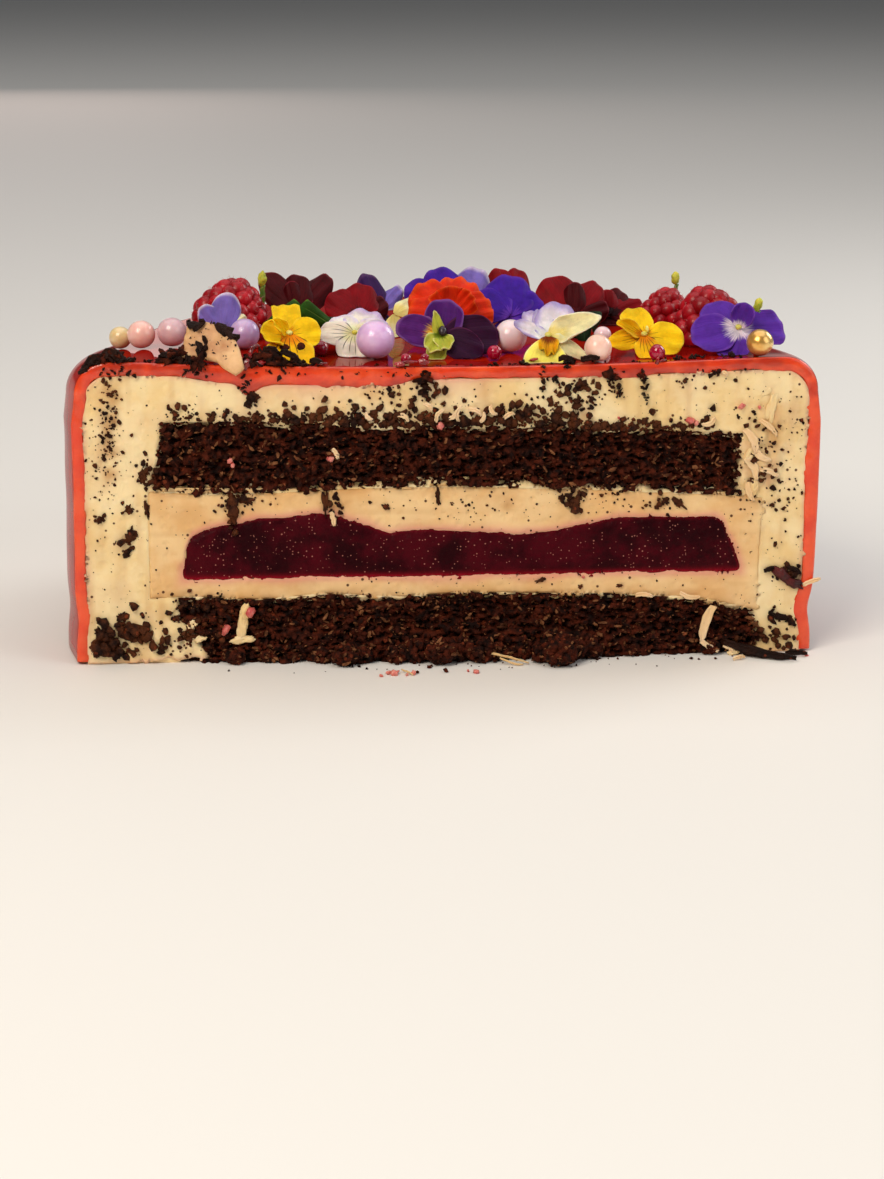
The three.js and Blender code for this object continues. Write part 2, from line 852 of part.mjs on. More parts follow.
const cake = new THREE.Group();
cake.add(meshOf("glaze", makeGlaze(), 0xd8280f, 0.12));
cake.add(meshOf("outer_mousse", makeOuterMousse(), 0xf2e0b4, 0.6));
cake.add(meshOf("upper_sponge", makeUpperSponge(), 0x2b130b, 0.9));
cake.add(meshOf("insert_mousse", makeInsertMousse(), 0xe8c79c, 0.6));
cake.add(meshOf("compote", makeCompote(), 0x4c0510, 0.25));
cake.add(meshOf("lower_sponge", makeLowerSponge(), 0x2b130b, 0.9));
cake.add(meshOf("mousse_flake", makeFlake(), 0xf2e0b4, 0.6));
for (const pearl of PEARLS) {
  cake.add(meshOf(pearl.name, makePearl(pearl), pearl.colour, 0.25));
}
for (const bead of BERRY_BEADS) {
  cake.add(meshOf(bead.name, makePearl(bead), bead.colour, 0.15));
}
for (const raspberry of RASPBERRIES) {
  cake.add(meshOf(raspberry.name, makeRaspberry(raspberry), 0xb3122c, 0.4));
}
for (const flower of FLOWERS) {
  cake.add(meshOf(flower.name, makeFlower(flower), flower.colour, 0.55));
}
for (const leaf of LEAVES) {
  cake.add(meshOf(leaf.name, makeFlower({ ...LEAF_FORM, ...leaf }), leaf.colour, 0.5));
}

// The origin goes under the middle of the whole piece, on its base.
const bounds = new THREE.Box3().setFromObject(cake);
const middle = bounds.getCenter(new THREE.Vector3());
cake.position.set(-middle.x, -middle.y, -bounds.min.z);

export default cake;
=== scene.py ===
# %% [markdown]
# # A cut mousse cake
# The imported CAD model is the frame: every piece below is placed from its boxes. This first cell
# loads it.

# %% Load the frame
import math
import bmesh
import bpy
import numpy as np
from mathutils import Matrix, Vector


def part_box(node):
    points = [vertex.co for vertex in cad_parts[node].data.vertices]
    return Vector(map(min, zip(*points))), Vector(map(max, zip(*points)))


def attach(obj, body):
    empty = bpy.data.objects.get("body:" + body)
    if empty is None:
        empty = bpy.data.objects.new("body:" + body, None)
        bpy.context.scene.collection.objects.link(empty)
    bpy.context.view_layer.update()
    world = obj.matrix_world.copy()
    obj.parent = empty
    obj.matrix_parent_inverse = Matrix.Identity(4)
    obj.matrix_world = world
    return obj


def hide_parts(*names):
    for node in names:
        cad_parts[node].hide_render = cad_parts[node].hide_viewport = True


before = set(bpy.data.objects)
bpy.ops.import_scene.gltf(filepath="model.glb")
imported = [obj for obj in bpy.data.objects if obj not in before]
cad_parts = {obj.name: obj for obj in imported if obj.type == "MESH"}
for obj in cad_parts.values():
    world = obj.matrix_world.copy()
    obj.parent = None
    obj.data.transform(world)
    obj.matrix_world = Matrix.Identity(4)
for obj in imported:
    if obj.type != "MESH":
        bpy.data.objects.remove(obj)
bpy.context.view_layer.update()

# %% [markdown]
# Cooks measure cakes in millimetres and Blender counts in metres, so shapes are worked out in
# millimetres and scaled once, when their mesh is made. The knife's plane, the axis of the round
# cake and the crown of its glaze are read from the frame.

# %% Measures of the cake
MM = 0.001


def span(node):
    """Lowest and highest corner of a CAD node, in millimetres."""
    low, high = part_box(node)
    return np.array(low) / MM, np.array(high) / MM


glaze_low, glaze_high = span("glaze")
mousse_low, mousse_high = span("outer_mousse")
CUT = mousse_low[1]  # the knife's plane, which faces -Y
OUTER_R = (glaze_high[0] - glaze_low[0]) / 2
AXIS = glaze_high[1] - OUTER_R  # the y of the round cake's own axis
CUT_BACK = AXIS - CUT  # how far the cut lies in front of that axis
RIM_RISE = 1.9  # the top is a shallow dish: its rim stands this much higher
RIM_RADIUS = 80.0
PROUD = 0.45  # how far the cut faces stand in front of the plain solids
REAR_SLOPE = 0.13  # how steeply the rim falls off behind the cut
REAR_REACH = 45.0  # and over what depth that fades out
CROWN = glaze_high[2] - RIM_RISE  # height of the glaze in the middle
MOUSSE_R = 90.15  # radius of the mousse under the glaze
MOUSSE_TOP = mousse_high[2] - RIM_RISE  # its height in the middle
print("cut at y", round(CUT, 2), "axis at y", round(AXIS, 2), "glaze radius", round(OUTER_R, 2))

# %% [markdown]
# Smooth steps, bumps and noise shape nearly everything on a cake. The noise here is plain
# arithmetic on whole-number corners, so that it gives the same crumb on every run.

# %% Steps, bumps and noise


def ease(low, high, value):
    """0 below low, 1 above high, and a smooth S between them."""
    t = np.clip((np.asarray(value, float) - low) / (high - low), 0, 1)
    return t * t * (3 - 2 * t)


def bump(value, middle, width):
    return np.exp(-(((np.asarray(value, float) - middle) / width) ** 2))


def hashed(i, j, seed):
    """A fixed value from 0 to 1 for each pair of whole numbers."""
    s = np.sin(i * 127.1 + j * 311.7 + seed * 74.7) * 43758.5453
    return s - np.floor(s)


def noise(x, y, seed=0):
    """Smooth noise from -1 to 1."""
    x, y = np.asarray(x, float), np.asarray(y, float)
    i, j = np.floor(x), np.floor(y)
    u, v = ease(0, 1, x - i), ease(0, 1, y - j)
    low = hashed(i, j, seed) * (1 - u) + hashed(i + 1, j, seed) * u
    high = hashed(i, j + 1, seed) * (1 - u) + hashed(i + 1, j + 1, seed) * u
    return 2 * (low * (1 - v) + high * v) - 1


def cells(x, y, seed=0):
    """Distance to the nearest of one scattered point in each unit square."""
    i, j = np.floor(x), np.floor(y)
    nearest = np.full(np.shape(x), 9.0)
    for di in (-1, 0, 1):
        for dj in (-1, 0, 1):
            px = i + di + hashed(i + di, j + dj, seed)
            py = j + dj + hashed(i + di, j + dj, seed + 5)
            nearest = np.minimum(nearest, np.hypot(x - px, y - py))
    return nearest


def dish(x, behind_axis):
    """How far the top stands above its middle: higher near the rim, which falls off at the back."""
    rise = RIM_RISE * np.minimum(1, (x**2 + behind_axis**2) / RIM_RADIUS**2)
    behind_cut = np.maximum(0, behind_axis + CUT_BACK)
    fall = REAR_SLOPE * REAR_REACH * (1 - np.exp(-behind_cut / REAR_REACH))
    return rise - fall * np.minimum(1, np.abs(x / RIM_RADIUS)) ** 4


def top_of_glaze(x, y):
    """Height of the glaze, which the decoration lies on."""
    return CROWN + dish(x, y - AXIS)


print("glaze over the cut:", round(float(top_of_glaze(0, CUT)), 2), "mm")

# %% [markdown]
# Pieces are made from arrays of points and faces. `mesh_piece` turns them into a smooth-shaded
# object, `grid_faces` lays faces over a grid of points, `mark` keeps a value at each point for the
# material, and `thicken` makes a sheet solid. `serve` hands a finished piece to the frame: it
# rides on the frame's root, and the CAD solids that it stands for are hidden.

# %% Mesh helpers


def in_scene(name, data):
    """A new object that shows this mesh, camera or light."""
    made = bpy.data.objects.new(name, data)
    bpy.context.scene.collection.objects.link(made)
    return made


def mesh_piece(name, points, faces, looks=(), look_of_face=None, smooth=True, uv=None):
    """An object from points in millimetres; uv holds a pair for each point."""
    mesh = bpy.data.meshes.new(name)
    mesh.from_pydata((np.asarray(points, float) * MM).tolist(), [], [tuple(f) for f in faces])
    for look in looks:
        mesh.materials.append(look)
    if look_of_face is not None:
        mesh.polygons.foreach_set("material_index", np.asarray(look_of_face, np.int32))
    mesh.polygons.foreach_set("use_smooth", [smooth] * len(mesh.polygons))
    if uv is not None:
        corner = np.zeros(len(mesh.loops), np.int32)
        mesh.loops.foreach_get("vertex_index", corner)
        layer = mesh.uv_layers.new(name="UVMap")
        layer.data.foreach_set("uv", np.asarray(uv, float)[corner].ravel())
    mesh.update()
    return in_scene(name, mesh)


def grid_faces(rows, columns, start=0):
    """Quads over a grid of points stored row by row."""
    low = start + (np.arange(rows - 1)[:, None] * columns + np.arange(columns - 1)).ravel()
    return np.stack([low, low + 1, low + columns + 1, low + columns], 1)


def mark(piece, name, values):
    """Keeps a value at each point, for the material to read."""
    layer = piece.data.attributes.new(name, "FLOAT", "POINT")
    layer.data.foreach_set("value", np.asarray(values, np.float32).ravel())


def thicken(piece, thickness, offset=0.0):
    """Gives a sheet its thickness, in millimetres."""
    shell = piece.modifiers.new("thickness", "SOLIDIFY")
    shell.thickness = thickness * MM
    shell.offset = offset
    return piece


def serve(piece, slot, *nodes):
    """Hands a finished piece to the frame."""
    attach(piece, "root")
    if nodes:
        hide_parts(*nodes)
    print("made", piece.name, len(piece.data.vertices), "points")
    return piece


# %% [markdown]
# A material is a small graph of nodes, and these helpers keep each graph short. `put` adds a node
# with its settings and inputs, `sums` does one step of arithmetic, `ramp` makes a mask and `blend`
# mixes two colours by it. `new_group` and `use` make a node group and place it, and `new_look` and
# `set_shader` make a material and fill in its shader.

# %% Node helpers


def tint(code, alpha=1.0):
    """A colour as printed, such as F6C400, in the linear light that shaders work in."""
    srgb = [int(code[i : i + 2], 16) / 255 for i in (0, 2, 4)]
    return [c / 12.92 if c <= 0.04045 else ((c + 0.055) / 1.055) ** 2.4 for c in srgb] + [alpha]


def feed(tree, socket, value):
    """Links a socket to another one, or sets it to a plain value."""
    if isinstance(value, bpy.types.NodeSocket):
        tree.links.new(value, socket)
    else:
        socket.default_value = value


def put(tree, kind, inputs=(), **settings):
    """Adds a node. inputs maps a socket's name or number to a value or to another socket."""
    node = tree.nodes.new("ShaderNode" + kind)
    for name, value in settings.items():
        setattr(node, name, value)
    for name, value in dict(inputs).items():
        feed(tree, node.inputs[name], value)
    return node


def sums(tree, operation, a, b=None, c=None):
    """One step of arithmetic on values or sockets."""
    given = {i: v for i, v in enumerate((a, b, c)) if v is not None}
    return put(tree, "Math", given, operation=operation).outputs[0]


def blend(tree, mask, a, b, how="MIX"):
    """Colour a where the mask is 0 and b where it is 1. Mix keeps its colour sockets at 6 and 7."""
    return put(tree, "Mix", {0: mask, 6: a, 7: b}, data_type="RGBA", blend_type=how).outputs[2]


def ramp(tree, value, low, high):
    """A mask that rises smoothly from 0 at low to 1 at high."""
    limits = {"Value": value, "From Min": low, "From Max": high}
    return put(tree, "MapRange", limits, interpolation_type="SMOOTHSTEP").outputs["Result"]


def new_group(name, inputs, outputs):
    """An empty shader node group with its sockets; inputs gives (name, kind, value)."""
    group = bpy.data.node_groups.new(name, "ShaderNodeTree")
    for label, kind, value in inputs:
        socket = group.interface.new_socket(label, in_out="INPUT", socket_type="NodeSocket" + kind)
        socket.default_value = value
    for label, kind in outputs:
        group.interface.new_socket(label, in_out="OUTPUT", socket_type="NodeSocket" + kind)
    given, out = group.nodes.new("NodeGroupInput"), group.nodes.new("NodeGroupOutput")
    return group, given.outputs, out.inputs


def spaced(values):
    """Sockets have spaces in their names, and Python's words can't: Base_Color is Base Color."""
    return {name.replace("_", " "): value for name, value in values.items()}


def use(tree, group, **values):
    """Places a group and feeds its sockets."""
    return put(tree, "Group", spaced(values), node_tree=group).outputs


def new_look(name):
    """A material with its Principled BSDF, ready for more nodes."""
    look = bpy.data.materials.new(name)
    look.use_nodes = True
    return look, look.node_tree, look.node_tree.nodes["Principled BSDF"]


def set_shader(tree, shader, **values):
    for name, value in spaced(values).items():
        feed(tree, shader.inputs[name], value)


def relief(tree, height, distance, strength=1.0):
    """Normals of a fine relief; distance is its depth in millimetres."""
    given = {"Height": height, "Distance": distance * MM, "Strength": strength}
    return put(tree, "Bump", given).outputs["Normal"]


print("node helpers ready")

# %% [markdown]
# Several foods share the same small effects. `mottle` drifts between two colours, as cream and
# sponge do; `specks` gives a mask of scattered dots, for vanilla, and for seeds with their painted
# glints; `fine_grain` gives a height with two sizes of grain. All three work in the object's own
# space, which does not slide.
# Each is a node group, made once and placed with other values in every material that needs it.

# %% Shared effects
mottle, given, out = new_group(
    "mottle",
    [("First", "Color", (1, 1, 1, 1)), ("Second", "Color", (0, 0, 0, 1)), ("Per metre", "Float", 100.0)],
    [("Colour", "Color"), ("Mask", "Float")],
)
where = put(mottle, "TexCoord").outputs["Object"]
cloudy = {"Vector": where, "Scale": given["Per metre"], "Detail": 5.0, "Roughness": 0.6}
mask = ramp(mottle, put(mottle, "TexNoise", cloudy).outputs["Fac"], 0.36, 0.66)
mottle.links.new(mask, out["Mask"])
mottle.links.new(blend(mottle, mask, given["First"], given["Second"]), out["Colour"])

specks, given, out = new_group(
    "specks",
    [("Per metre", "Float", 500.0), ("Radius", "Float", 0.2), ("Share", "Float", 0.3)],
    [("Mask", "Float")],
)
where = put(specks, "TexCoord").outputs["Object"]
dots = put(specks, "TexVoronoi", {"Vector": where, "Scale": given["Per metre"], "Randomness": 1.0})
# every dot has a random colour: its red chooses whether the dot shows, its green how large it is
dot_red, dot_green, _ = put(specks, "SeparateColor", {"Color": dots.outputs["Color"]}).outputs
chosen = sums(specks, "LESS_THAN", dot_red, given["Share"])
size = sums(specks, "MULTIPLY", given["Radius"], dot_green)
inner = sums(specks, "MULTIPLY", size, 0.6)
spot = sums(specks, "SUBTRACT", 1.0, ramp(specks, dots.outputs["Distance"], inner, size))
specks.links.new(sums(specks, "MULTIPLY", spot, chosen), out["Mask"])

fine_grain, given, out = new_group(
    "fine grain",
    [
        ("Coarse per metre", "Float", 300.0),
        ("Fine per metre", "Float", 1500.0),
        ("Fine share", "Float", 0.4),
    ],
    [("Height", "Float")],
)
where = put(fine_grain, "TexCoord").outputs["Object"]
coarse = put(fine_grain, "TexNoise", {"Vector": where, "Scale": given["Coarse per metre"], "Detail": 3.0})
fine = put(fine_grain, "TexNoise", {"Vector": where, "Scale": given["Fine per metre"], "Detail": 2.0})
fine_part = sums(fine_grain, "MULTIPLY", fine.outputs["Fac"], given["Fine share"])
fine_grain.links.new(sums(fine_grain, "ADD", coarse.outputs["Fac"], fine_part), out["Height"])


def drift(tree, first, second, per_metre):
    """A colour that drifts between two printed colours."""
    return use(tree, mottle, First=tint(first), Second=tint(second), Per_metre=per_metre)["Colour"]


def grainy(tree, coarse, fine, fine_share, depth, strength=1.0):
    """Normals of fine grain; coarse and fine are grains per metre, depth is in millimetres."""
    grain = use(tree, fine_grain, Coarse_per_metre=coarse, Fine_per_metre=fine, Fine_share=fine_share)
    return relief(tree, grain["Height"], depth, strength)


def kept_value(tree, name):
    """A value that mark() keeps at each point of the mesh."""
    return put(tree, "Attribute", attribute_name=name).outputs["Fac"]


print("groups:", [g.name for g in bpy.data.node_groups])

# %% [markdown]
# Mousse is cream set with air: pale, soft and slightly see-through, with vanilla specks. Light
# goes a little way into it, so the shader scatters light under the surface. The outer mousse and
# the insert differ in colour. Two values kept in the mesh stain it: cocoa dragged by the knife,
# and berry juice that has run out of the compote.

# %% Mousse finishes


def mousse_look(name, pale, warm, speck_share):
    look, tree, shader = new_look(name)
    colour = drift(tree, pale, warm, 70.0)
    colour = blend(tree, kept_value(tree, "cocoa"), colour, tint("B5793A"))
    colour = blend(tree, kept_value(tree, "berry"), colour, tint("D9807C"))
    vanilla = use(tree, specks, Per_metre=520.0, Radius=0.24, Share=speck_share)["Mask"]
    colour = blend(tree, vanilla, colour, tint("5A3418"))
    normal = grainy(tree, 260.0, 1400.0, 0.35, 0.25, 0.5)
    set_shader(tree, shader, Base_Color=colour, Roughness=0.5, Normal=normal, Specular_IOR_Level=0.3)
    set_shader(tree, shader, Subsurface_Weight=0.25, Subsurface_Scale=1.5 * MM)
    set_shader(tree, shader, Subsurface_Radius=(1.0, 0.7, 0.4))
    return look


vanilla_mousse = mousse_look("vanilla mousse", "FADFAE", "F0CD90", 0.16)
insert_cream = mousse_look("insert mousse", "F2CC96", "E6B67A", 0.2)
# the flake's cream is darker and browner: partly brown chocolate on it, partly painted shade
flake_cream_in_painted_shade = mousse_look("flake mousse in painted shade", "EABE8A", "B87E50", 0.3)
print("mousse finishes:", vanilla_mousse.name, insert_cream.name, flake_cream_in_painted_shade.name)

# %% [markdown]
# Chocolate sponge is nearly black in its holes and red-brown on the crumbs that stand out. Those
# crumbs are real mesh, so the material only has to vary from crumb to crumb.

# %% Sponge and chocolate finishes


def crumb_look(name, dark, brown, rough=0.75, per_metre=420.0):
    look, tree, shader = new_look(name)
    colour = drift(tree, dark, brown, per_metre)
    rust = use(tree, specks, Per_metre=700.0, Radius=0.5, Share=0.3)["Mask"]
    colour = blend(tree, sums(tree, "MULTIPLY", rust, 0.5), colour, tint("8A3C1E"))
    normal = grainy(tree, 900.0, 3200.0, 0.6, 0.5)
    set_shader(tree, shader, Base_Color=colour, Roughness=rough, Normal=normal, Specular_IOR_Level=0.12)
    return look


sponge_crumb = crumb_look("chocolate sponge", "140401", "501C0A")
loose_crumb = crumb_look("loose crumb", "1E0B05", "562B13", rough=0.6, per_metre=300.0)
# the flake finish is a paler brown: partly broken crumb, partly painted glint
sponge_flake_and_painted_glint = crumb_look("sponge flake and painted glint", "3E1E0E", "8C5A38", rough=0.5, per_metre=380.0)
chocolate_chip = crumb_look("chocolate chip", "180905", "2E150B", rough=0.35, per_metre=150.0)
print("sponge finishes:", sponge_crumb.name, loose_crumb.name, sponge_flake_and_painted_glint.name, chocolate_chip.name)

# %% [markdown]
# The compote is a set berry gel: almost black-red and moist. Its fine bright specks are partly pale
# seeds and partly painted glints, where seeds and bubbles would catch the light. Along its rim the gel
# is thin and looks redder, so the mesh keeps a value there, under the name that the mousse uses for
# berry juice.

# %% Compote finish
berry_gel, tree, shader = new_look("berry compote")
gel = drift(tree, "240005", "46030F", 120.0)
gel = blend(tree, kept_value(tree, "berry"), gel, tint("80081A"))
# pale specks: partly seeds, partly painted glints of seeds and bubbles
seeds = use(tree, specks, Per_metre=1500.0, Radius=0.36, Share=0.3)["Mask"]
gel = blend(tree, sums(tree, "MULTIPLY", seeds, 0.55), gel, tint("D08878"))
normal = grainy(tree, 500.0, 1800.0, 0.6, 0.3)
set_shader(tree, shader, Base_Color=gel, Roughness=0.4, Normal=normal, Specular_IOR_Level=0.06)
print("compote finish:", berry_gel.name)

# %% [markdown]
# Mirror glaze is coloured gelatine: a smooth gloss over a deep red that turns orange where it is
# thin. Where the knife went through, light comes out of the cut edge and it looks brighter; the
# value kept in the mesh as "cocoa" darkens it again where it lies thick on top.

# %% Glaze finishes
mirror_glaze, tree, shader = new_look("mirror glaze")
normal = grainy(tree, 22.0, 70.0, 0.3, 0.5, 0.35)
set_shader(tree, shader, Base_Color=drift(tree, "A61706", "800B04", 26.0), Roughness=0.16, Normal=normal)
set_shader(tree, shader, Coat_Weight=0.55, Coat_Roughness=0.03, Specular_IOR_Level=0.0)

cut_glaze, tree, shader = new_look("cut glaze")
bright = drift(tree, "F65322", "E63C12", 160.0)
bright = blend(tree, kept_value(tree, "cocoa"), bright, tint("A41E0A"))
normal = grainy(tree, 300.0, 900.0, 0.4, 0.4, 0.6)
set_shader(tree, shader, Base_Color=bright, Roughness=0.28, Normal=normal, Coat_Weight=0.3)
set_shader(tree, shader, Subsurface_Weight=0.35, Subsurface_Scale=2 * MM)
set_shader(tree, shader, Subsurface_Radius=(1.0, 0.35, 0.15))
print("glaze finishes:", mirror_glaze.name, cut_glaze.name)

# %% [markdown]
# A petal is velvet: its colour changes from heart to rim, fine dark lines run out of the throat,
# and a paler colour runs along the rim, partly the petal's own and partly a painted highlight.
# `petal paint` works that out from the petal's own map, where u runs across it and v from its heart
# to its tip, so one group paints every flower.

# %% The petal paint
petal_paint, given, out = new_group(
    "petal paint",
    [
        ("Heart", "Color", (1, 1, 0.5, 1)),
        ("Body", "Color", (0.5, 0.2, 0.8, 1)),
        ("Rim", "Color", (0.8, 0.7, 1, 1)),
        ("Line", "Color", (0.02, 0.0, 0.05, 1)),
        ("Heart end", "Float", 0.3),
        ("Rim width", "Float", 0.1),
        ("Rim share", "Float", 0.5),
        ("Line count", "Float", 6.0),
        ("Line end", "Float", 0.6),
        ("Line width", "Float", 0.3),
    ],
    [("Colour", "Color"), ("Height", "Float")],
)
place = put(petal_paint, "SeparateXYZ", {"Vector": put(petal_paint, "TexCoord").outputs["UV"]})
across, along = place.outputs["X"], place.outputs["Y"]


def paint(operation, a, b=None, c=None):
    return sums(petal_paint, operation, a, b, c)


centred = paint("SUBTRACT", across, 0.5)
from_middle = paint("ABSOLUTE", centred)
# streaks run along the petal, so their noise is stretched that way
stretched = {"X": paint("MULTIPLY", across, 26.0), "Y": paint("MULTIPLY", along, 2.2)}
vector = put(petal_paint, "CombineXYZ", stretched).outputs["Vector"]
streaks = put(petal_paint, "TexNoise", {"Vector": vector, "Scale": 1.0, "Detail": 3.0}).outputs["Fac"]
# the heart's colour fades out along the petal, further along some streaks than others
fading = paint("ADD", along, paint("MULTIPLY_ADD", streaks, 0.5, -0.25))
heart_low = paint("MULTIPLY", given["Heart end"], 0.45)
outside = ramp(petal_paint, fading, heart_low, paint("ADD", given["Heart end"], 0.02))
colour = blend(petal_paint, outside, given["Heart"], given["Body"])
# the rim's colour, partly the petal's own and partly a painted highlight, lies within a small distance of
# the outline
side = paint("MULTIPLY_ADD", from_middle, -2.0, 1.0)
edge = paint("MINIMUM", side, paint("SUBTRACT", 1.0, along))
near_rim = paint("SUBTRACT", 1.0, ramp(petal_paint, edge, 0.0, given["Rim width"]))
near_rim = paint("MULTIPLY", paint("MULTIPLY", near_rim, given["Rim share"]), outside)
colour = blend(petal_paint, near_rim, colour, given["Rim"])
# dark guide lines fan out of the throat
half_waves = paint("MULTIPLY", given["Line count"], 2.0)
wave = paint("SINE", paint("MULTIPLY", paint("MULTIPLY", centred, math.pi), half_waves))
closeness = paint("SUBTRACT", 1.0, paint("ABSOLUTE", wave))
line = ramp(petal_paint, closeness, paint("SUBTRACT", 1.0, given["Line width"]), 1.0)
# they are longest in the middle of the petal, and begin a little way out of the throat
reach = paint("SUBTRACT", given["Line end"], paint("MULTIPLY", from_middle, 0.7))
beyond = ramp(petal_paint, fading, paint("MULTIPLY", reach, 0.7), paint("ADD", reach, 0.02))
line_mask = paint("MULTIPLY", line, paint("SUBTRACT", 1.0, beyond))
line_mask = paint("MULTIPLY", line_mask, ramp(petal_paint, along, 0.06, 0.16))
petal_paint.links.new(blend(petal_paint, line_mask, colour, given["Line"]), out["Colour"])
petal_paint.links.new(paint("MULTIPLY_ADD", wave, 0.12, streaks), out["Height"])
print("petal paint has", len(petal_paint.nodes), "nodes")

# %% [markdown]
# Each kind of petal gets its own values, so the kinds are a table. The shader lets some light
# through, because a petal is only a fraction of a millimetre thick, and reflects very little.

# %% Petal finishes
PETAL_VALUES = ("Heart_end", "Rim_width", "Rim_share", "Line_count", "Line_end", "Line_width")
# key, name, the colours of heart, body, rim and lines, and the values named above
PETALS = (
    ("yellow", "yellow petal", "EFA400 FFCB0E FFD838 3A1606", 0.25, 0.1, 0.5, 2.5, 0.5, 0.22),
    ("yellow lip", "yellow lip", "E88600 FDC008 FFD438 2A0E06", 0.4, 0.1, 0.5, 3.0, 0.75, 0.42),
    ("cream", "cream petal", "F7EFC0 F3E8DC D8C8EC 2C3A12", 0.5, 0.3, 0.6, 2.5, 0.5, 0.26),
    ("cream rim", "cream petal with a lilac rim", "F7EFC0 F6E8D8 C8A8E4 B8A880",
     0.5, 0.42, 0.8, 3.5, 0.7, 0.16),
    ("cream lines", "cream lined petal", "DDD3A0 EBDCCB E8D8E0 1E2A10", 0.4, 0.1, 0.5, 3.0, 0.85, 0.4),
    ("purple", "purple petal", "5A2478 4A1466 8A5CA8 14042E", 0.3, 0.1, 0.5, 4.0, 0.5, 0.25),
    ("near black", "near-black petal", "3A0634 2E0428 6A2858 10020E", 0.3, 0.06, 0.4, 6.0, 0.0, 0.1),
    ("flame", "flame petal", "FFC21A 501866 9868A8 A02008", 0.4, 0.1, 0.5, 3.0, 0.5, 0.4),
    ("white lilac", "white and lilac petal", "FAF2F2 F2E4EC A088D0 7A5CA8", 0.5, 0.34, 0.8, 3.5, 0.4, 0.2),
    ("ivory", "ivory petal", "F6DE84 FAEDB8 FCF4DC B89A50", 0.5, 0.1, 0.5, 3.0, 0.35, 0.16),
    ("sun lip", "sunny lip", "F8C838 FFEA68 FFF4B8 6A3204", 0.32, 0.1, 0.5, 3.5, 0.5, 0.34),
    ("flame lip", "brown throat", "8A3A06 E8A010 F8D020 5A2404", 0.6, 0.1, 0.5, 4.0, 0.8, 0.5),
    ("blue", "blue petal", "F0DCE8 5A2CA0 7A4CB4 20106A", 0.33, 0.1, 0.5, 4.5, 0.6, 0.16),
    ("violet", "violet petal", "6434B0 3F1796 6C3CB0 1E0C60", 0.2, 0.12, 0.4, 5.0, 0.5, 0.12),
    ("dark violet", "dark violet petal", "42244C 381850 74507E 100824", 0.2, 0.14, 0.5, 6.0, 0.0, 0.1),
    ("lilac", "lilac petal", "8A78B8 7A66B6 DCCCE0 4A3A80", 0.3, 0.12, 0.9, 5.0, 0.6, 0.1),
    ("orange", "orange petal", "A01004 E0300C F45A1C 6A0604", 0.3, 0.16, 0.6, 5.0, 0.7, 0.12),
    ("crimson", "crimson petal", "260104 480208 8E2430 180104", 0.3, 0.05, 0.6, 6.0, 0.0, 0.1),
    ("red", "red petal", "440106 820410 B01C2A 340106", 0.3, 0.05, 0.5, 6.0, 0.0, 0.1),
    ("leaf", "leaf", "2E5A14 2A4C0C 5C8A28 8AA048", 0.2, 0.06, 0.6, 0.5, 1.2, 0.05),
    ("dark leaf", "dark leaf", "16300E 142A12 2C4A24 3A5A2C", 0.2, 0.06, 0.5, 0.5, 1.2, 0.05),
    ("bud", "green lip", "6E7E18 B4B43E ECE49A 34440E", 0.4, 0.12, 0.6, 2.5, 0.6, 0.3),
)


def petal_look(name, colours, values):
    look, tree, shader = new_look(name)
    heart, body, rim, line = (tint(code) for code in colours.split())
    made = use(tree, petal_paint, Heart=heart, Body=body, Rim=rim, Line=line, **values)
    shade = use(tree, mottle, First=(1, 1, 1, 1), Second=(0.72, 0.72, 0.72, 1), Per_metre=260.0)
    colour = blend(tree, 1.0, made["Colour"], shade["Colour"], "MULTIPLY")
    normal = relief(tree, made["Height"], 0.35, 0.6)
    set_shader(tree, shader, Base_Color=colour, Roughness=0.55, Normal=normal, Specular_IOR_Level=0.1)
    set_shader(tree, shader, Subsurface_Weight=0.15, Subsurface_Scale=1.2 * MM)
    return look


petal = {}
for key, name, colours, *numbers in PETALS:
    petal[key] = petal_look(name, colours, dict(zip(PETAL_VALUES, numbers)))
print("petal finishes:", len(petal))

# %% [markdown]
# Sugar pearls have a pearl's lustre: a soft colour that drifts a little, a faint sheen on the
# grazing side and a clear coat on top. The Principled BSDF has sheen and coat of its own, so no
# more nodes are needed. Beads, raspberries, jam and buds share a second recipe, which is wet.

# %% Pearl, bead and raspberry finishes


def pearl_look(name, colour, glow, metal=0.0, rough=0.28):
    look, tree, shader = new_look(name)
    body, normal = drift(tree, colour, glow, 150.0), grainy(tree, 400.0, 2500.0, 0.3, 0.06, 0.4)
    set_shader(tree, shader, Base_Color=body, Roughness=rough, Metallic=metal, Normal=normal)
    set_shader(tree, shader, Coat_Weight=0.6, Coat_Roughness=0.12, Sheen_Weight=0.3 * (1 - metal))
    set_shader(tree, shader, Subsurface_Weight=0.2 * (1 - metal), Subsurface_Scale=1.5 * MM)
    return look


PEARL_COLOURS = {
    "pearl_cream": ("E0BE78", "EED6A4"),
    "pearl_pink": ("F4B2A4", "FACCC0"),
    "pearl_rose_grey": ("D4A4AC", "E4BEC2"),
    "pearl_lilac": ("B08CC4", "CCAAD4"),
    "pearl_pale_lilac": ("D8A8DC", "E8C4E8"),
    "pearl_white": ("F4D4D8", "FAE4E6"),
    "pearl_blush": ("F8C4B0", "FCD8C8"),
}
pearl_finish = {slot: pearl_look(slot.replace("_", " "), *pair) for slot, pair in PEARL_COLOURS.items()}
pearl_finish["pearl_gold"] = pearl_look("pearl gold", "E8AA4C", "F4CC7C", metal=0.65, rough=0.26)


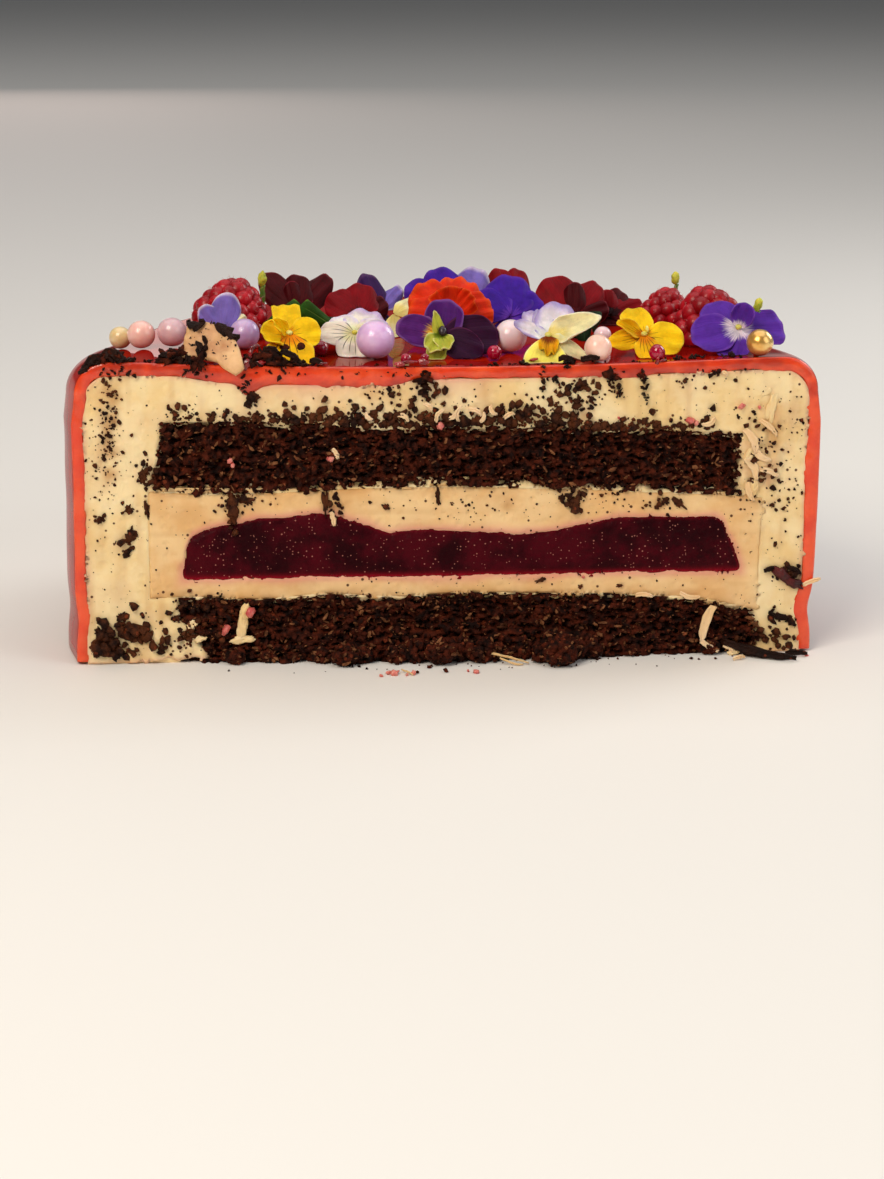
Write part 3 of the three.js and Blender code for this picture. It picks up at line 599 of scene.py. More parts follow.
def wet_look(name, dark, light, rough, coat, shine=0.5):
    look, tree, shader = new_look(name)
    body, normal = drift(tree, dark, light, 240.0), grainy(tree, 500.0, 2500.0, 0.4, 0.1, 0.5)
    set_shader(tree, shader, Base_Color=body, Roughness=rough, Normal=normal)
    set_shader(tree, shader, Coat_Weight=coat, Coat_Roughness=0.08, Specular_IOR_Level=shine)
    set_shader(tree, shader, Subsurface_Weight=0.3, Subsurface_Scale=2 * MM)
    set_shader(tree, shader, Subsurface_Radius=(1.0, 0.2, 0.15))
    return look


bead_gloss = wet_look("berry bead", "8C0424", "B40A38", 0.12, 0.8, shine=0.3)
raspberry_skin = wet_look("raspberry", "8A0410", "B80E1E", 0.4, 0.15, shine=0.25)
berry_hair = wet_look("raspberry hair", "C86A68", "E8A8A0", 0.6, 0.0, shine=0.2)
jam_gloss = wet_look("berry jam", "5E0206", "A00C12", 0.15, 0.8, shine=0.3)
berry_bit = wet_look("berry bit", "C04A48", "E08878", 0.4, 0.2)
dried_berry = wet_look("dried berry", "2E0606", "5C1210", 0.45, 0.1, shine=0.3)
bud_skin = wet_look("flower bud", "8A9A1E", "D0CC48", 0.5, 0.0, shine=0.3)
stem_skin = wet_look("flower stem", "44661C", "7A8C34", 0.5, 0.0, shine=0.3)
stamen = wet_look("stamen", "D8C040", "F0E080", 0.5, 0.0)
dark_heart = wet_look("dark heart", "14040E", "2A0A1C", 0.4, 0.2)
print("pearl finishes:", len(pearl_finish), "- materials so far:", len(bpy.data.materials))

# %% [markdown]
# The round cake is a lathe shape: one profile, turned. The glaze is a skin, so its profile runs
# up the outside and back down the inside. Bisecting the turned mesh along the knife's plane
# leaves the half that stands, and its open section is then filled. The real skin pools at its
# foot, has a slack waist above that, and thins round the top edge.

# %% The glaze
WAIST_Z = 11.0  # height of the slack waist
EDGE_ROUND = 8.0  # radius of the top edge
GLAZE_FOOT = 0.7  # the glaze ends this far above the floor
SKIN_SIDE, SKIN_TOP = 1.2, 1.4  # its thickness on the side and on top
ROUND_STEPS = 320  # steps round the cake


def side_profile(steps):
    """Radius and height up the side, round the edge and in over the top, before it is shaped."""
    side = [(OUTER_R, z) for z in np.linspace(GLAZE_FOOT, CROWN - EDGE_ROUND - 6, steps)]
    shoulder = OUTER_R - 0.9
    arc = [
        (shoulder - EDGE_ROUND + EDGE_ROUND * math.cos(a), CROWN - EDGE_ROUND + EDGE_ROUND * math.sin(a))
        for a in np.linspace(0, math.pi / 2, 16)
    ]
    top = [(r, CROWN) for r in np.linspace(shoulder - EDGE_ROUND - 4, 0, 26)]
    return np.array(side + arc + top)


def shaped(radius, height, angle):
    """The side with its pooled foot, waist, belly and slow drips, and the dish of the top."""
    side = ease(MOUSSE_R - 14, MOUSSE_R - 2, radius)
    waist = 1.1 * bump(height, WAIST_Z, 4.5) * (0.75 + 0.25 * np.cos(angle))
    belly = 0.35 * bump(height, 42, 22) * np.cos(angle)
    drips = 0.25 * np.sin(9 * angle) * (1 - ease(0, 30, height))
    wobble = 0.12 * noise(angle * 9, height / 9, 4)
    r = radius + side * (belly + drips + wobble - waist)
    z = height + ease(CROWN - 22, CROWN - 2, height) * dish(r * np.cos(angle), r * np.sin(angle))
    return r, z


profile = side_profile(26)
inside = profile[profile[:, 0] > 0.5] - np.array([SKIN_SIDE, SKIN_TOP])
loop = np.concatenate([profile, [(0.0, CROWN - SKIN_TOP)], inside[::-1]])
angles = np.linspace(0, 2 * math.pi, ROUND_STEPS, endpoint=False)
R, A = np.meshgrid(loop[:, 0], angles)
Z, _ = np.meshgrid(loop[:, 1], angles)
R, Z = shaped(R, np.maximum(Z, GLAZE_FOOT), A)
R = np.maximum(R, 1e-4)
points = np.stack([R * np.cos(A), AXIS + R * np.sin(A), Z], 2).reshape(-1, 3)
ring = len(loop)
faces = []
for i in range(ROUND_STEPS):
    here, there = i * ring, (i + 1) % ROUND_STEPS * ring
    for j in range(ring):
        k = (j + 1) % ring
        faces.append((here + j, there + j, there + k, here + k))
glaze = mesh_piece("glaze_skin", points, faces, [mirror_glaze])
shell = bmesh.new()
shell.from_mesh(glaze.data)
bmesh.ops.remove_doubles(shell, verts=shell.verts, dist=1e-6)
everything = shell.verts[:] + shell.edges[:] + shell.faces[:]
knife = {"plane_co": (0, CUT * MM, 0), "plane_no": (0, -1, 0), "clear_outer": True}
bmesh.ops.bisect_plane(shell, geom=everything, **knife)
bmesh.ops.holes_fill(shell, edges=[e for e in shell.edges if e.is_boundary], sides=0)
bmesh.ops.recalc_face_normals(shell, faces=shell.faces[:])
shell.to_mesh(glaze.data)
shell.free()
serve(glaze, "glaze", "glaze")

# %% [markdown]
# Where the knife went through, the glaze shows as a band that runs up one side, over the top and
# down the other. It is modelled as its own sheet along that line, a little proud of the cut and
# rounded at its edges, because soft glaze is dragged and swells again. At one place the knife has
# pulled it down in a point.

# %% The cut edge of the glaze
DRAG_X = -47.8  # where the knife pulled the glaze down into the mousse
BAND_STEPS, BAND_ROWS = 620, 11  # points along the band and across it


def sag(x):
    """How much lower the glaze meets the mousse where the knife dragged it."""
    dragged = 1.6 * ease(-48, -43, x) * (1 - ease(-15, -7, x))
    return 3.2 * bump(x, DRAG_X, 2.7) + 1.4 * bump(x, DRAG_X - 7, 6.5) + dragged


def cut_band():
    """Points of the band's outer line from the left foot to the right foot, and its thickness."""
    quarter = side_profile(60)
    quarter = quarter[quarter[:, 0] > CUT_BACK + 0.05]
    lines = []
    for sign in (-1, 1):
        x = sign * np.sqrt(quarter[:, 0] ** 2 - CUT_BACK**2)
        angle = np.arctan2(-CUT_BACK, x)
        r, z = shaped(quarter[:, 0], quarter[:, 1], angle)
        lines.append(np.stack([sign * np.sqrt(np.maximum(r**2 - CUT_BACK**2, 0)), z], 1))
    line = np.concatenate([lines[0], lines[1][::-1]])
    length = np.concatenate([[0], np.cumsum(np.hypot(*np.diff(line, axis=0).T))])
    at = np.linspace(0, length[-1], BAND_STEPS)
    return np.stack([np.interp(at, length, line[:, 0]), np.interp(at, length, line[:, 1])], 1), at


outer_line, run = cut_band()
ahead = np.gradient(outer_line, axis=0)
ahead /= np.hypot(ahead[:, 0], ahead[:, 1])[:, None]
inward = np.stack([ahead[:, 1], -ahead[:, 0]], 1)
x, z = outer_line.T
on_top = ease(60, 68, z)
smears = 0.4 * bump(x, 44, 5) + 0.3 * noise(x / 3.1, 0, 5)
thick = 2.9 + on_top * (0.15 + sag(x) + smears) + 0.35 * noise(run / 7, 0, 2)
thick += 0.16 * noise(run / 1.9, 0, 3) + 0.5 * (x > 0) * (1 - on_top)
inner_line = outer_line + inward * thick[:, None]
rows = []
for t in np.linspace(0, 1, BAND_ROWS):
    x, z = (outer_line * (1 - t) + inner_line * t).T
    swell = 0.45 * math.sin(math.pi * t) ** 0.6 + 0.1 * noise(x / 2.1, z / 2.1, 8)
    y = CUT + 0.15 - PROUD - swell - 0.25 * on_top * bump(x, DRAG_X, 3)
    rows.append(np.stack([x, y, z], 1))
points, faces = np.concatenate(rows), grid_faces(BAND_ROWS, BAND_STEPS)[:, ::-1]
band = mesh_piece("glaze_cut_edge", points, faces, [cut_glaze])
x, _, z = points.T
clouds = 0.3 + 0.5 * noise(x / 6.5, z / 2.6, 9) + 0.3 * noise(x / 1.9, z / 1.2, 10)
mark(band, "cocoa", np.clip(np.tile(on_top, BAND_ROWS) * clouds, 0, 0.75))
serve(thicken(band, 0.5, -1.0), "glaze")

# %% [markdown]
# The layers meet along lines that can be read off the cut: each is a height over x, given at a
# few places and joined smoothly. The same lines then shape the mousse, the sponges and the
# compote, so that neighbours always meet.

# %% Lines between the layers


def level(*stops):
    """A height over x, from (x, height) stops."""
    xs, zs = np.array(stops, float).T
    return lambda x: np.interp(x, xs, zs)


upper_top = level(
    (-72, 60), (-60, 59.5), (-46, 59.4), (-29, 58.5), (-17, 57.3),
    (0, 58), (27, 57.1), (41, 56.3), (61, 56.4), (72, 55.4),
)
upper_foot = level(
    (-72, 42.6), (-60, 41.6), (-46, 41.8), (-12, 42.9), (5, 42.8),
    (22, 42.3), (37, 41.5), (57, 40.6), (77, 39.3),
)
lower_top = level(
    (-68, 16.2), (-60, 16.3), (-46, 15.4), (-29, 16.6), (-12, 15.6), (3, 16.4),
    (22, 16.1), (37, 15.8), (50, 14.9), (62, 14.1), (78, 10.4),
)
gel_top = level(
    (-64.2, 24), (-63.8, 28.1), (-62.2, 31.6), (-59.1, 33.1), (-54.8, 34.1), (-47.4, 35.5), (-40, 36.1),
    (-32, 36.8), (-28, 36.4), (-21.6, 34.1), (-14.3, 31.5), (-10.7, 32.1), (-4.6, 32.5), (7.6, 31.9),
    (17, 31.2), (27, 32.2), (37, 34.1), (42, 34.7), (65, 34.7), (67.6, 33.4), (69, 30),
)
GEL_FOOT = 20.7


def upper_region(x, z):
    """Negative inside the upper sponge."""
    left = -69.4 - 0.12 * (60 - z) + 0.5 * noise(z / 2.3, 0, 31)
    right = 70.9 + 0.03 * (60 - z) + 0.5 * noise(z / 2.3, 0, 32)
    ragged = 0.45 * noise(x / 2.1, 0, 33)
    return np.max([left - x, x - right, upper_foot(x) - z, z - upper_top(x) + ragged], axis=0)


def insert_region(x, z):
    left, right = -72.4 + 0 * z, 77 - 0.02 * (40 - z)
    return np.max([left - x, x - right, lower_top(x) - z, z - upper_foot(x)], axis=0)


def lower_region(x, z):
    left = -66 + 7 * (1 - ease(1, 13, z)) + 1.6 * noise(z / 2.4, 0, 41)
    right = 76.6 + 0.7 * noise(z / 2.6, 0, 42)
    ragged = 0.5 * noise(x / 1.9, 0, 43)
    return np.max([left - x, x - right, -4 - z, z - lower_top(x) + ragged], axis=0)


def gel_region(x, z):
    """Negative inside the compote, whose ends slope and are rounded."""
    ends = np.maximum(-64.4 - x, x - 71.9 + 0.36 * np.maximum(0, z - 22))
    lids = np.maximum(GEL_FOOT - z, z - gel_top(x))
    rounding = np.maximum(1.4 - np.abs(ends - lids), 0) ** 2 / 5.6
    return np.maximum(ends, lids) + rounding + 0.2 * noise(x / 5, z / 5, 44)


CORNER = 7.4  # radius of the mousse's top corners on the cut


def mousse_region(x, z):
    """Negative inside the whole mousse body."""
    half = 87.5 + 0.2 * noise(z / 8, 0, 45)
    crest = MOUSSE_TOP + dish(x, -CUT_BACK) - 0.92 * sag(x)
    base = 0.2 + 1.7 * bump(x, -64, 8) * (0.5 + 0.5 * noise(x / 2.2, 0, 46))
    dx, dz = np.abs(x) - (half - CORNER), z - (crest - CORNER)
    rounded = np.hypot(np.maximum(dx, 0), np.maximum(dz, 0)) - CORNER
    flat = np.maximum(dx, dz) - CORNER
    return np.maximum(np.where((dx > 0) & (dz > 0), rounded, flat), base - z)


print("upper sponge is", round(float(upper_top(0) - upper_foot(0)), 1), "mm thick in the middle")

# %% [markdown]
# A cut face is a sheet of small squares over the part of the plane where a region is negative.
# Squares alone would leave a stepped outline, so points close to the outline are first moved
# onto it along the region's slope. The sheet then gets its relief, and a little thickness.

# %% A sheet over part of the cut


def cut_sheet(name, region, cell, box, look, depth):
    """depth(x, z) is how far the face lies behind the plane of the cut."""
    x, z = np.meshgrid(np.arange(box[0], box[1], cell), np.arange(box[2], box[3], cell))
    rows, columns = x.shape
    for _ in range(4):
        d = region(x, z)
        gx = (region(x + 0.05, z) - region(x - 0.05, z)) / 0.1
        gz = (region(x, z + 0.05) - region(x, z - 0.05)) / 0.1
        slope = np.maximum(gx**2 + gz**2, 0.25)
        near = (np.abs(d) < 0.75 * cell) / slope
        x, z = x - near * d * gx, z - near * d * gz
    keep_point = (region(x, z) < 0.12 * cell).ravel()
    faces = grid_faces(rows, columns)
    faces = faces[keep_point[faces].all(1)]
    used, faces = np.unique(faces, return_inverse=True)
    x, z = x.ravel()[used], z.ravel()[used]
    # the lowest rows share one depth, so that the sheet stands straight on the floor
    points = np.stack([x, CUT + depth(x, np.maximum(z, 1.2)), z], 1)
    made = mesh_piece(name, points, faces.reshape(-1, 4), [look])
    return thicken(made, 0.8, -1.0), x, z


def finish_solid(node, look):
    """Gives the CAD solid behind a cut face the same finish."""
    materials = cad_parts[node].data.materials
    materials.clear()
    materials.append(look)


print("cut_sheet and finish_solid are ready")

# %% [markdown]
# The outer mousse keeps its CAD solid for the body. Over its cut face lies a finer sheet: faint
# waves and streaks from the knife, small pits, a step where it meets the insert. The cocoa stain
# on the left and the smears at the end of the upper sponge are kept in the mesh as a value.

# %% The cut face of the outer mousse


def knife_marks(x, z, seed):
    waves = 0.22 * noise(x / 13, z / 8, seed) + 0.1 * noise(x / 3.4, z / 5, seed + 1)
    streaks = 0.05 * noise(x / 0.9, z / 7, seed + 2) + 0.04 * noise(x / 1.6, z / 1.6, seed + 3)
    pits = 0.35 * (1 - ease(0.1, 0.2, cells(x / 3.1, z / 3.1, seed + 4)))
    return waves + streaks + pits


def layers_region(x, z):
    return np.minimum(np.minimum(upper_region(x, z), insert_region(x, z)), lower_region(x, z))


def mousse_face(x, z):
    return np.maximum(mousse_region(x, z), -layers_region(x, z) - 1.4)


def mousse_depth(x, z):
    tucked = 1.4 * ease(0.0, 0.9, -layers_region(x, z))
    smear = 0.9 * bump(x, 77, 5) * bump(z, 52, 12) * (0.5 + noise(x / 2, z / 2, 54))
    ragged_foot = 0.9 * bump(x, -68, 14) * (1 - ease(2, 13, z)) * noise(x / 2.4, z / 2.0, 53)
    return np.minimum(knife_marks(x, z, 50) - smear - ragged_foot - PROUD, -0.06) + tucked


over = (-90, 90, 0.2, 73)
face, x, z = cut_sheet("mousse_cut_face", mousse_face, 0.6, over, vanilla_mousse, mousse_depth)
column = bump(x, -81.2 + 0.06 * (z - 57), 2.6) * ease(40, 48, z) * (1 - ease(66, 71, z))
blotches = 0.5 + 0.5 * noise(x / 2.1, z / 2.6, 55)
right_end = 0.5 * bump(x, 77, 6) * bump(z, 50, 12) * (0.5 + 0.5 * noise(x / 1.7, z / 1.7, 56))
under_glaze = 0.35 * bump(mousse_region(x, z), 0, 0.7)
under_glaze += 0.3 * bump(mousse_region(x, z), 0, 4.0) * (bump(x, -33, 15) + bump(x, 2, 8))
streaks = 0.3 * np.maximum(0, noise(x / 1.7, z / 15, 58)) + 0.22 * np.maximum(0, noise(x / 8, z / 6, 59))
mark(face, "cocoa", np.clip(0.85 * column * blotches + right_end + streaks, 0, 1))
mark(face, "berry", np.clip(under_glaze + 0.4 * right_end * (noise(x / 2.6, z / 2.2, 57) > 0.2), 0, 1))
serve(face, "vanilla_mousse")
finish_solid("outer_mousse", vanilla_mousse)

# %% [markdown]
# The insert is a second mousse, set in its own ring and frozen before it went in, so its wall
# shows as a fine straight line. Berry juice has coloured it where it touches the compote.

# %% The cut face of the insert


def insert_face(x, z):
    return np.maximum(insert_region(x, z), -gel_region(x, z) - 1.2)


def insert_depth(x, z):
    seam = 0.25 * bump(insert_region(x, z), 0, 0.35)
    tucked = 0.9 * ease(0, 0.8, -gel_region(x, z))
    return np.minimum(knife_marks(x, z, 60) + seam - PROUD, -0.06) + tucked


face, x, z = cut_sheet("insert_cut_face", insert_face, 0.55, (-74, 79, 9, 45), insert_cream, insert_depth)
halo = bump(gel_region(x, z), 0, 1.25 + 0.4 * noise(x / 6, z / 6, 61))
dusted = 0.6 * bump(z, lower_top(x), 1.6) + 0.5 * bump(z, upper_foot(x), 0.9)
for smudge_x, smudge_z in ((14, 38), (30.7, 39.1), (51.6, 37.6), (-52.4, 36), (-27.7, 37.4)):
    dusted += 0.9 * bump(x, smudge_x, 1.3) * bump(z, smudge_z, 1.5)
mark(face, "berry", np.clip(0.6 * halo, 0, 1))
streaks = 0.2 * np.maximum(0, noise(x / 9, z / 1.6, 63)) + 0.2 * np.maximum(0, noise(x / 7, z / 5, 64))
mark(face, "cocoa", np.clip(dusted * (0.5 + 0.5 * noise(x / 1.8, z / 1.8, 62)) + streaks, 0, 1))
serve(face, "insert_mousse")
finish_solid("insert_mousse", insert_cream)

# %% [markdown]
# The compote was cut cold, so its face is smooth and swells a little out of the cut, with fine
# pits where seeds were. Its foot and its edge get the value that makes the gel look redder.

# %% The cut face of the compote


def gel_depth(x, z):
    swell = 0.5 * ease(0, 2.5, -gel_region(x, z))
    rough = 0.12 * noise(x / 1.3, z / 1.3, 71) + 0.16 * noise(x / 5, z / 4, 72)
    pits = 0.2 * (1 - ease(0.12, 0.3, cells(x / 2.2, z / 2.2, 73)))
    return np.minimum(0.2 - swell + rough + pits - PROUD, -0.06)


face, x, z = cut_sheet("compote_cut_face", gel_region, 0.5, (-67, 73, 19, 38), berry_gel, gel_depth)
mark(face, "berry", 0.8 * bump(z, GEL_FOOT, 1.0) + 0.5 * bump(gel_region(x, z), 0, 0.5))
serve(face, "berry_compote")
finish_solid("compote", berry_gel)

# %% [markdown]
# Sponge tears instead of cutting: its face is a landscape of crumbs and holes, laid in faint
# horizontal layers. Each sponge is one closed block whose front is a fine grid moved by three
# sizes of noise and by round holes; its back is the same grid on the round wall of the layer.

# %% The sponges


def torn(x, z, seed):
    """Depth of the torn face behind the cut, in millimetres."""
    slow = 0.6 * noise(x / 6.5, z / 4.0, seed) + 0.9 * noise(x / 5.2, z / 1.25, seed + 1)
    fast = 0.45 * noise(x / 1.3, z / 0.7, seed + 2)
    holes = 2.3 * (1 - ease(0.12, 0.4, cells(x / 3.2, z / 1.6, seed + 3)))
    small = 1.1 * (1 - ease(0.15, 0.4, cells(x / 1.5, z / 1.0, seed + 4)))
    return slow + fast + holes + small - 0.6


def sponge_block(node, region, foot, top, depth, cell=0.45):
    """One layer of sponge: foot and top are its lines on the cut, depth is how far its face is torn."""
    low, high = span(node)
    middle, radius = (low[0] + high[0]) / 2, (high[0] - low[0]) / 2
    reach = math.sqrt(radius**2 - CUT_BACK**2) + 0.4
    columns, rows = int(2 * reach / cell), int((top(0) - foot(0)) / cell)
    x, t = np.meshgrid(np.linspace(middle - reach, middle + reach, columns), np.linspace(0, 1, rows))
    z = foot(x) * (1 - t) + top(x) * t
    outside = ease(0, 1.0, region(x, z))
    front = np.stack([x, CUT + depth(x, z) + 2.2 * outside, z], 2).reshape(-1, 3)
    wall = AXIS + np.sqrt(np.maximum(radius**2 - (x - middle) ** 2, CUT_BACK**2 + 60))
    back = np.stack([x, wall, z], 2).reshape(-1, 3)
    count = rows * columns
    at = np.arange(count).reshape(rows, columns)
    rim = np.concatenate([at[0], at[1:, -1], at[-1, -2::-1], at[-2:0:-1, 0]])
    after = np.roll(rim, -1)
    sides = np.stack([rim, rim + count, after + count, after], 1)
    faces = np.concatenate([grid_faces(rows, columns), grid_faces(rows, columns, count)[:, ::-1], sides])
    made = mesh_piece(node + "_torn", np.concatenate([front, back]), faces, [sponge_crumb])
    return serve(made, "chocolate_sponge", node)


def upper_torn(x, z):
    return torn(x, z, 80) + 0.2


def lower_torn(x, z):
    pressed = 1.9 * (1 - ease(2, 10, z)) * (1 - ease(35, 66, np.abs(x)))
    return torn(x, z, 90) - pressed


def floor_line(x):
    return 0.02 + 0 * x


sponge_block("upper_sponge", upper_region, upper_foot, upper_top, upper_torn)
sponge_block("lower_sponge", lower_region, floor_line, lower_top, lower_torn)

# %% [markdown]
# Crumbs are what makes torn sponge look torn. Thousands of them are needed, so they are built
# as arrays: one small ball of triangles is copied to every place, turned, stretched and dented
# by a fixed random draw, and all the crumbs of a kind become one mesh.

# %% A maker of crumbs


def ball(detail):
    """Points and triangles of a unit ball."""
    made = bmesh.new()
    bmesh.ops.create_icosphere(made, subdivisions=detail, radius=1.0)
    points = np.array([v.co for v in made.verts])
    faces = np.array([[v.index for v in f.verts] for f in made.faces])
    made.free()
    return points, faces


def unit_length(rows):
    return rows / np.linalg.norm(rows, axis=1)[:, None]


def crumbs(name, places, radii, look, slot, seed, detail=1, rough=0.3, flat=0.75, tumble=1.0, smooth=True):
    """places holds an (x, y, z) for each crumb, radii one radius or three. tumble 0 lays the crumbs
    level, and none of them reaches below the floor."""
    draw = np.random.default_rng(seed)
    places, radii = np.asarray(places, float), np.asarray(radii, float)
    points, faces = ball(detail)
    count = len(places)
    dents = 1 + rough * draw.uniform(-1, 1, (count, len(points), 1))
    stretch = draw.uniform(flat, 1.25, (count, 1, 3))
    # a random turn, as the matrix of a quaternion; a large first part keeps the turn small
    q = draw.normal(size=(count, 4))
    q[:, 0] += 7 * (1 - tumble)
    w, a, b, c = unit_length(q).T
    turn = np.array([
        [1 - 2 * (b * b + c * c), 2 * (a * b - c * w), 2 * (a * c + b * w)],
        [2 * (a * b + c * w), 1 - 2 * (a * a + c * c), 2 * (b * c - a * w)],
        [2 * (a * c - b * w), 2 * (b * c + a * w), 1 - 2 * (a * a + b * b)],
    ]).transpose(2, 0, 1)
    lumps = points[None] * dents * stretch * radii.reshape(count, 1, -1)
    everywhere = np.einsum("nij,nkj->nki", turn, lumps) + places[:, None, :]
    everywhere[..., 2] = np.maximum(everywhere[..., 2], 0.02)
    all_faces = faces[None] + (np.arange(count) * len(points))[:, None, None]
    made = mesh_piece(name, everywhere.reshape(-1, 3), all_faces.reshape(-1, 3), [look], smooth=smooth)
    return serve(made, slot)


def over_face(draw, count, low_x, high_x, low_z, high_z, region):
    """Places scattered over one region of the cut."""
    x, z = draw.uniform(low_x, high_x, count), draw.uniform(low_z, high_z, count)
    inside = region(x, z) < -0.2
    return x[inside], z[inside]


print("a crumb has", len(ball(1)[1]), "triangles")

# %% [markdown]
# On the sponges, small crumbs cover the torn face and stand out of it by about half. They are
# wider than high, because the sponge was pressed in layers.

# %% Crumbs on the torn faces
draw = np.random.default_rng(11)
places, radii = [], []
for region, depth, box, count in (
    (upper_region, upper_torn, (-72, 73, 40, 61), 1900),
    (lower_region, lower_torn, (-68, 78, 0.6, 17), 1700),
):
    x, z = over_face(draw, count, *box, region)
    size = 0.3 + 0.7 * draw.random(len(x)) ** 2.5
    places.append(np.stack([x, CUT + depth(x, z) + 0.1 * size, z], 1))
    radii.append(size[:, None] * np.array([1.5, 0.9, 0.72]))
places, radii = np.concatenate(places), np.concatenate(radii)
crumbs("sponge_crumbs", places, radii, sponge_crumb, "chocolate_sponge", 12, rough=0.42, tumble=0.75)

# %% [markdown]
# The lower sponge has been pressed out at its foot, in rough balls that lie on the floor. Each
# ball is one large crumb with small ones all over it, and loose crumbs lie in front of them.

# %% Crumb pressed out at the foot
LOOSE_CRUMBS = 90
# the balls: x, distance ahead of the cut, radius
LUMPS = (
    (-52, 2, 2.4), (-44, 1.4, 1.8), (-38, 1.2, 1.8), (-31, 2.4, 2.4), (-25.6, 5.4, 3.3),
    (-21, 3.4, 2.6), (-13, 3.6, 2.8), (-8, 3, 3.4), (-2.2, 5.4, 4), (3, 3.2, 3.4),
    (7.2, 4.6, 3.6), (12, 3.2, 2.6), (18, 2.4, 2.4), (22.6, 5.8, 3), (26.4, 9, 4.2),
    (30, 5.2, 3.6), (26.5, 3.6, 4.6), (35, 3, 2.8), (46, 1, 1.6), (65, 1.4, 2.2), (72, 1.2, 1.6),
)
places, radii = [], []
for x0, ahead_of_cut, size in LUMPS:
    count = int(26 * size)
    way = unit_length(draw.normal(size=(count, 3)))
    middle = np.array([x0, CUT - ahead_of_cut, size * 0.8])
    spot = middle + way * size * 0.72 * np.array([1.1, 0.95, 0.95])
    bead = draw.uniform(0.45, 0.95, count) * (0.6 + 0.18 * size)
    spot[:, 2] = np.maximum(spot[:, 2], bead * 0.8)
    places += [[middle], spot]
    radii += [[size * 0.72], bead]
loose = 0.15 + 0.5 * draw.random(LOOSE_CRUMBS) ** 3
ahead = draw.uniform(1.5, 15, LOOSE_CRUMBS) * draw.random(LOOSE_CRUMBS) ** 0.5
x = np.clip(draw.normal(4, 26, LOOSE_CRUMBS), -58, 70)
places.append(np.stack([x, CUT - ahead, 0.7 * loose], 1))
radii.append(loose)
places, radii = np.concatenate(places), np.concatenate(radii)
crumbs("pressed_crumbs", places, radii, sponge_crumb, "chocolate_sponge", 13, rough=0.38)

# %% [markdown]
# A crumb's broken side is paler than its crust. Thin flakes of a lighter brown stand for those
# sides and, partly, for painted glints: on the torn faces, and on the front and top of the balls at
# the foot, where light falls.

# %% Paler flakes, partly painted glints
FLAKES_ON_LUMPS = 900
glints, sizes = [], []
for region, depth, box, count in (
    (upper_region, upper_torn, (-72, 73, 40, 60), 1100),
    (lower_region, lower_torn, (-68, 78, 0.6, 16), 1200),
):
    x, z = over_face(draw, count, *box, region)
    size = 0.16 + 0.5 * draw.random(len(x)) ** 3
    glints.append(np.stack([x, CUT + depth(x, z) - 0.25 - 0.2 * size, z], 1))
    sizes.append(size)
chosen = draw.integers(0, len(places) - LOOSE_CRUMBS, FLAKES_ON_LUMPS)
# flakes on the balls lean to their front and top, the lit side, as painted glints
way = unit_length(draw.normal(size=(FLAKES_ON_LUMPS, 3)) - np.array([0, 0.8, -0.4]))
on_lumps = places[chosen] + 0.85 * radii[chosen, None] * way
on_lumps[:, 2] = np.maximum(on_lumps[:, 2], 0.3)
glints.append(on_lumps)
sizes.append(0.18 + 0.45 * draw.random(FLAKES_ON_LUMPS) ** 2)
thin = np.concatenate(sizes)[:, None] * np.array([1.7, 0.8, 0.6])
crumbs(
    "sponge_flakes_and_painted_glints", np.concatenate(glints), thin, sponge_flake_and_painted_glint, "chocolate_sponge", 16,
    rough=0.4, tumble=0.6, smooth=False,
)

# %% [markdown]
# The knife carried crumbs into the pale mousse: a fringe above the upper sponge, drips of crumb
# below it, dust beside its ends, a stained column on the left and crumbs in the lower left
# corner. They lie on the dressed face, so its depth is worked out again for each of them.

# %% Crumbs dragged over the mousse


def cut_face(x, z):
    """How far the dressed cut lies behind the knife's plane."""
    face = np.where(insert_region(x, z) < 0, insert_depth(x, z), mousse_depth(x, z))
    face = np.where(gel_region(x, z) < 0, gel_depth(x, z), face)
    in_sponge = np.minimum(upper_region(x, z), lower_region(x, z)) < 0
    return np.where(in_sponge, -PROUD, face)


def on_mousse(x, z, proud):
    return np.stack([x, CUT + cut_face(x, z) - proud, z], 1)


def scatter(count, middle, spread, sizes):
    """A cloud of crumbs on the cut: middle and spread are (x, z)."""
    x = draw.normal(middle[0], spread[0], count)
    z = draw.normal(middle[1], spread[1], count)
    size = sizes[0] + (sizes[1] - sizes[0]) * draw.random(count) ** 2.2
    inside = mousse_region(x, z) < -size
    return on_mousse(x[inside], z[inside], 0.35 * size[inside]), size[inside]


clouds = []
# the fringe over the upper sponge: count, lowest and highest x, rise, smallest and largest crumb
for count, low_x, high_x, rise, small, large in (
    (430, -68, 64, 2.0, 0.22, 0.9),
    (300, -40, 52, 3.3, 0.24, 1.15),
    (130, -36, 40, 4.6, 0.3, 1.3),
):
    x = draw.uniform(low_x, high_x, count)
    thicker = 0.6 + 0.4 * noise(x / 9, 0, 65)
    z = upper_top(x) + np.abs(draw.normal(0, rise, count)) * thicker + 0.15
    size = small + (large - small) * draw.random(count) ** 2.0
    clouds.append((on_mousse(x, z, 0.25 * size), size))
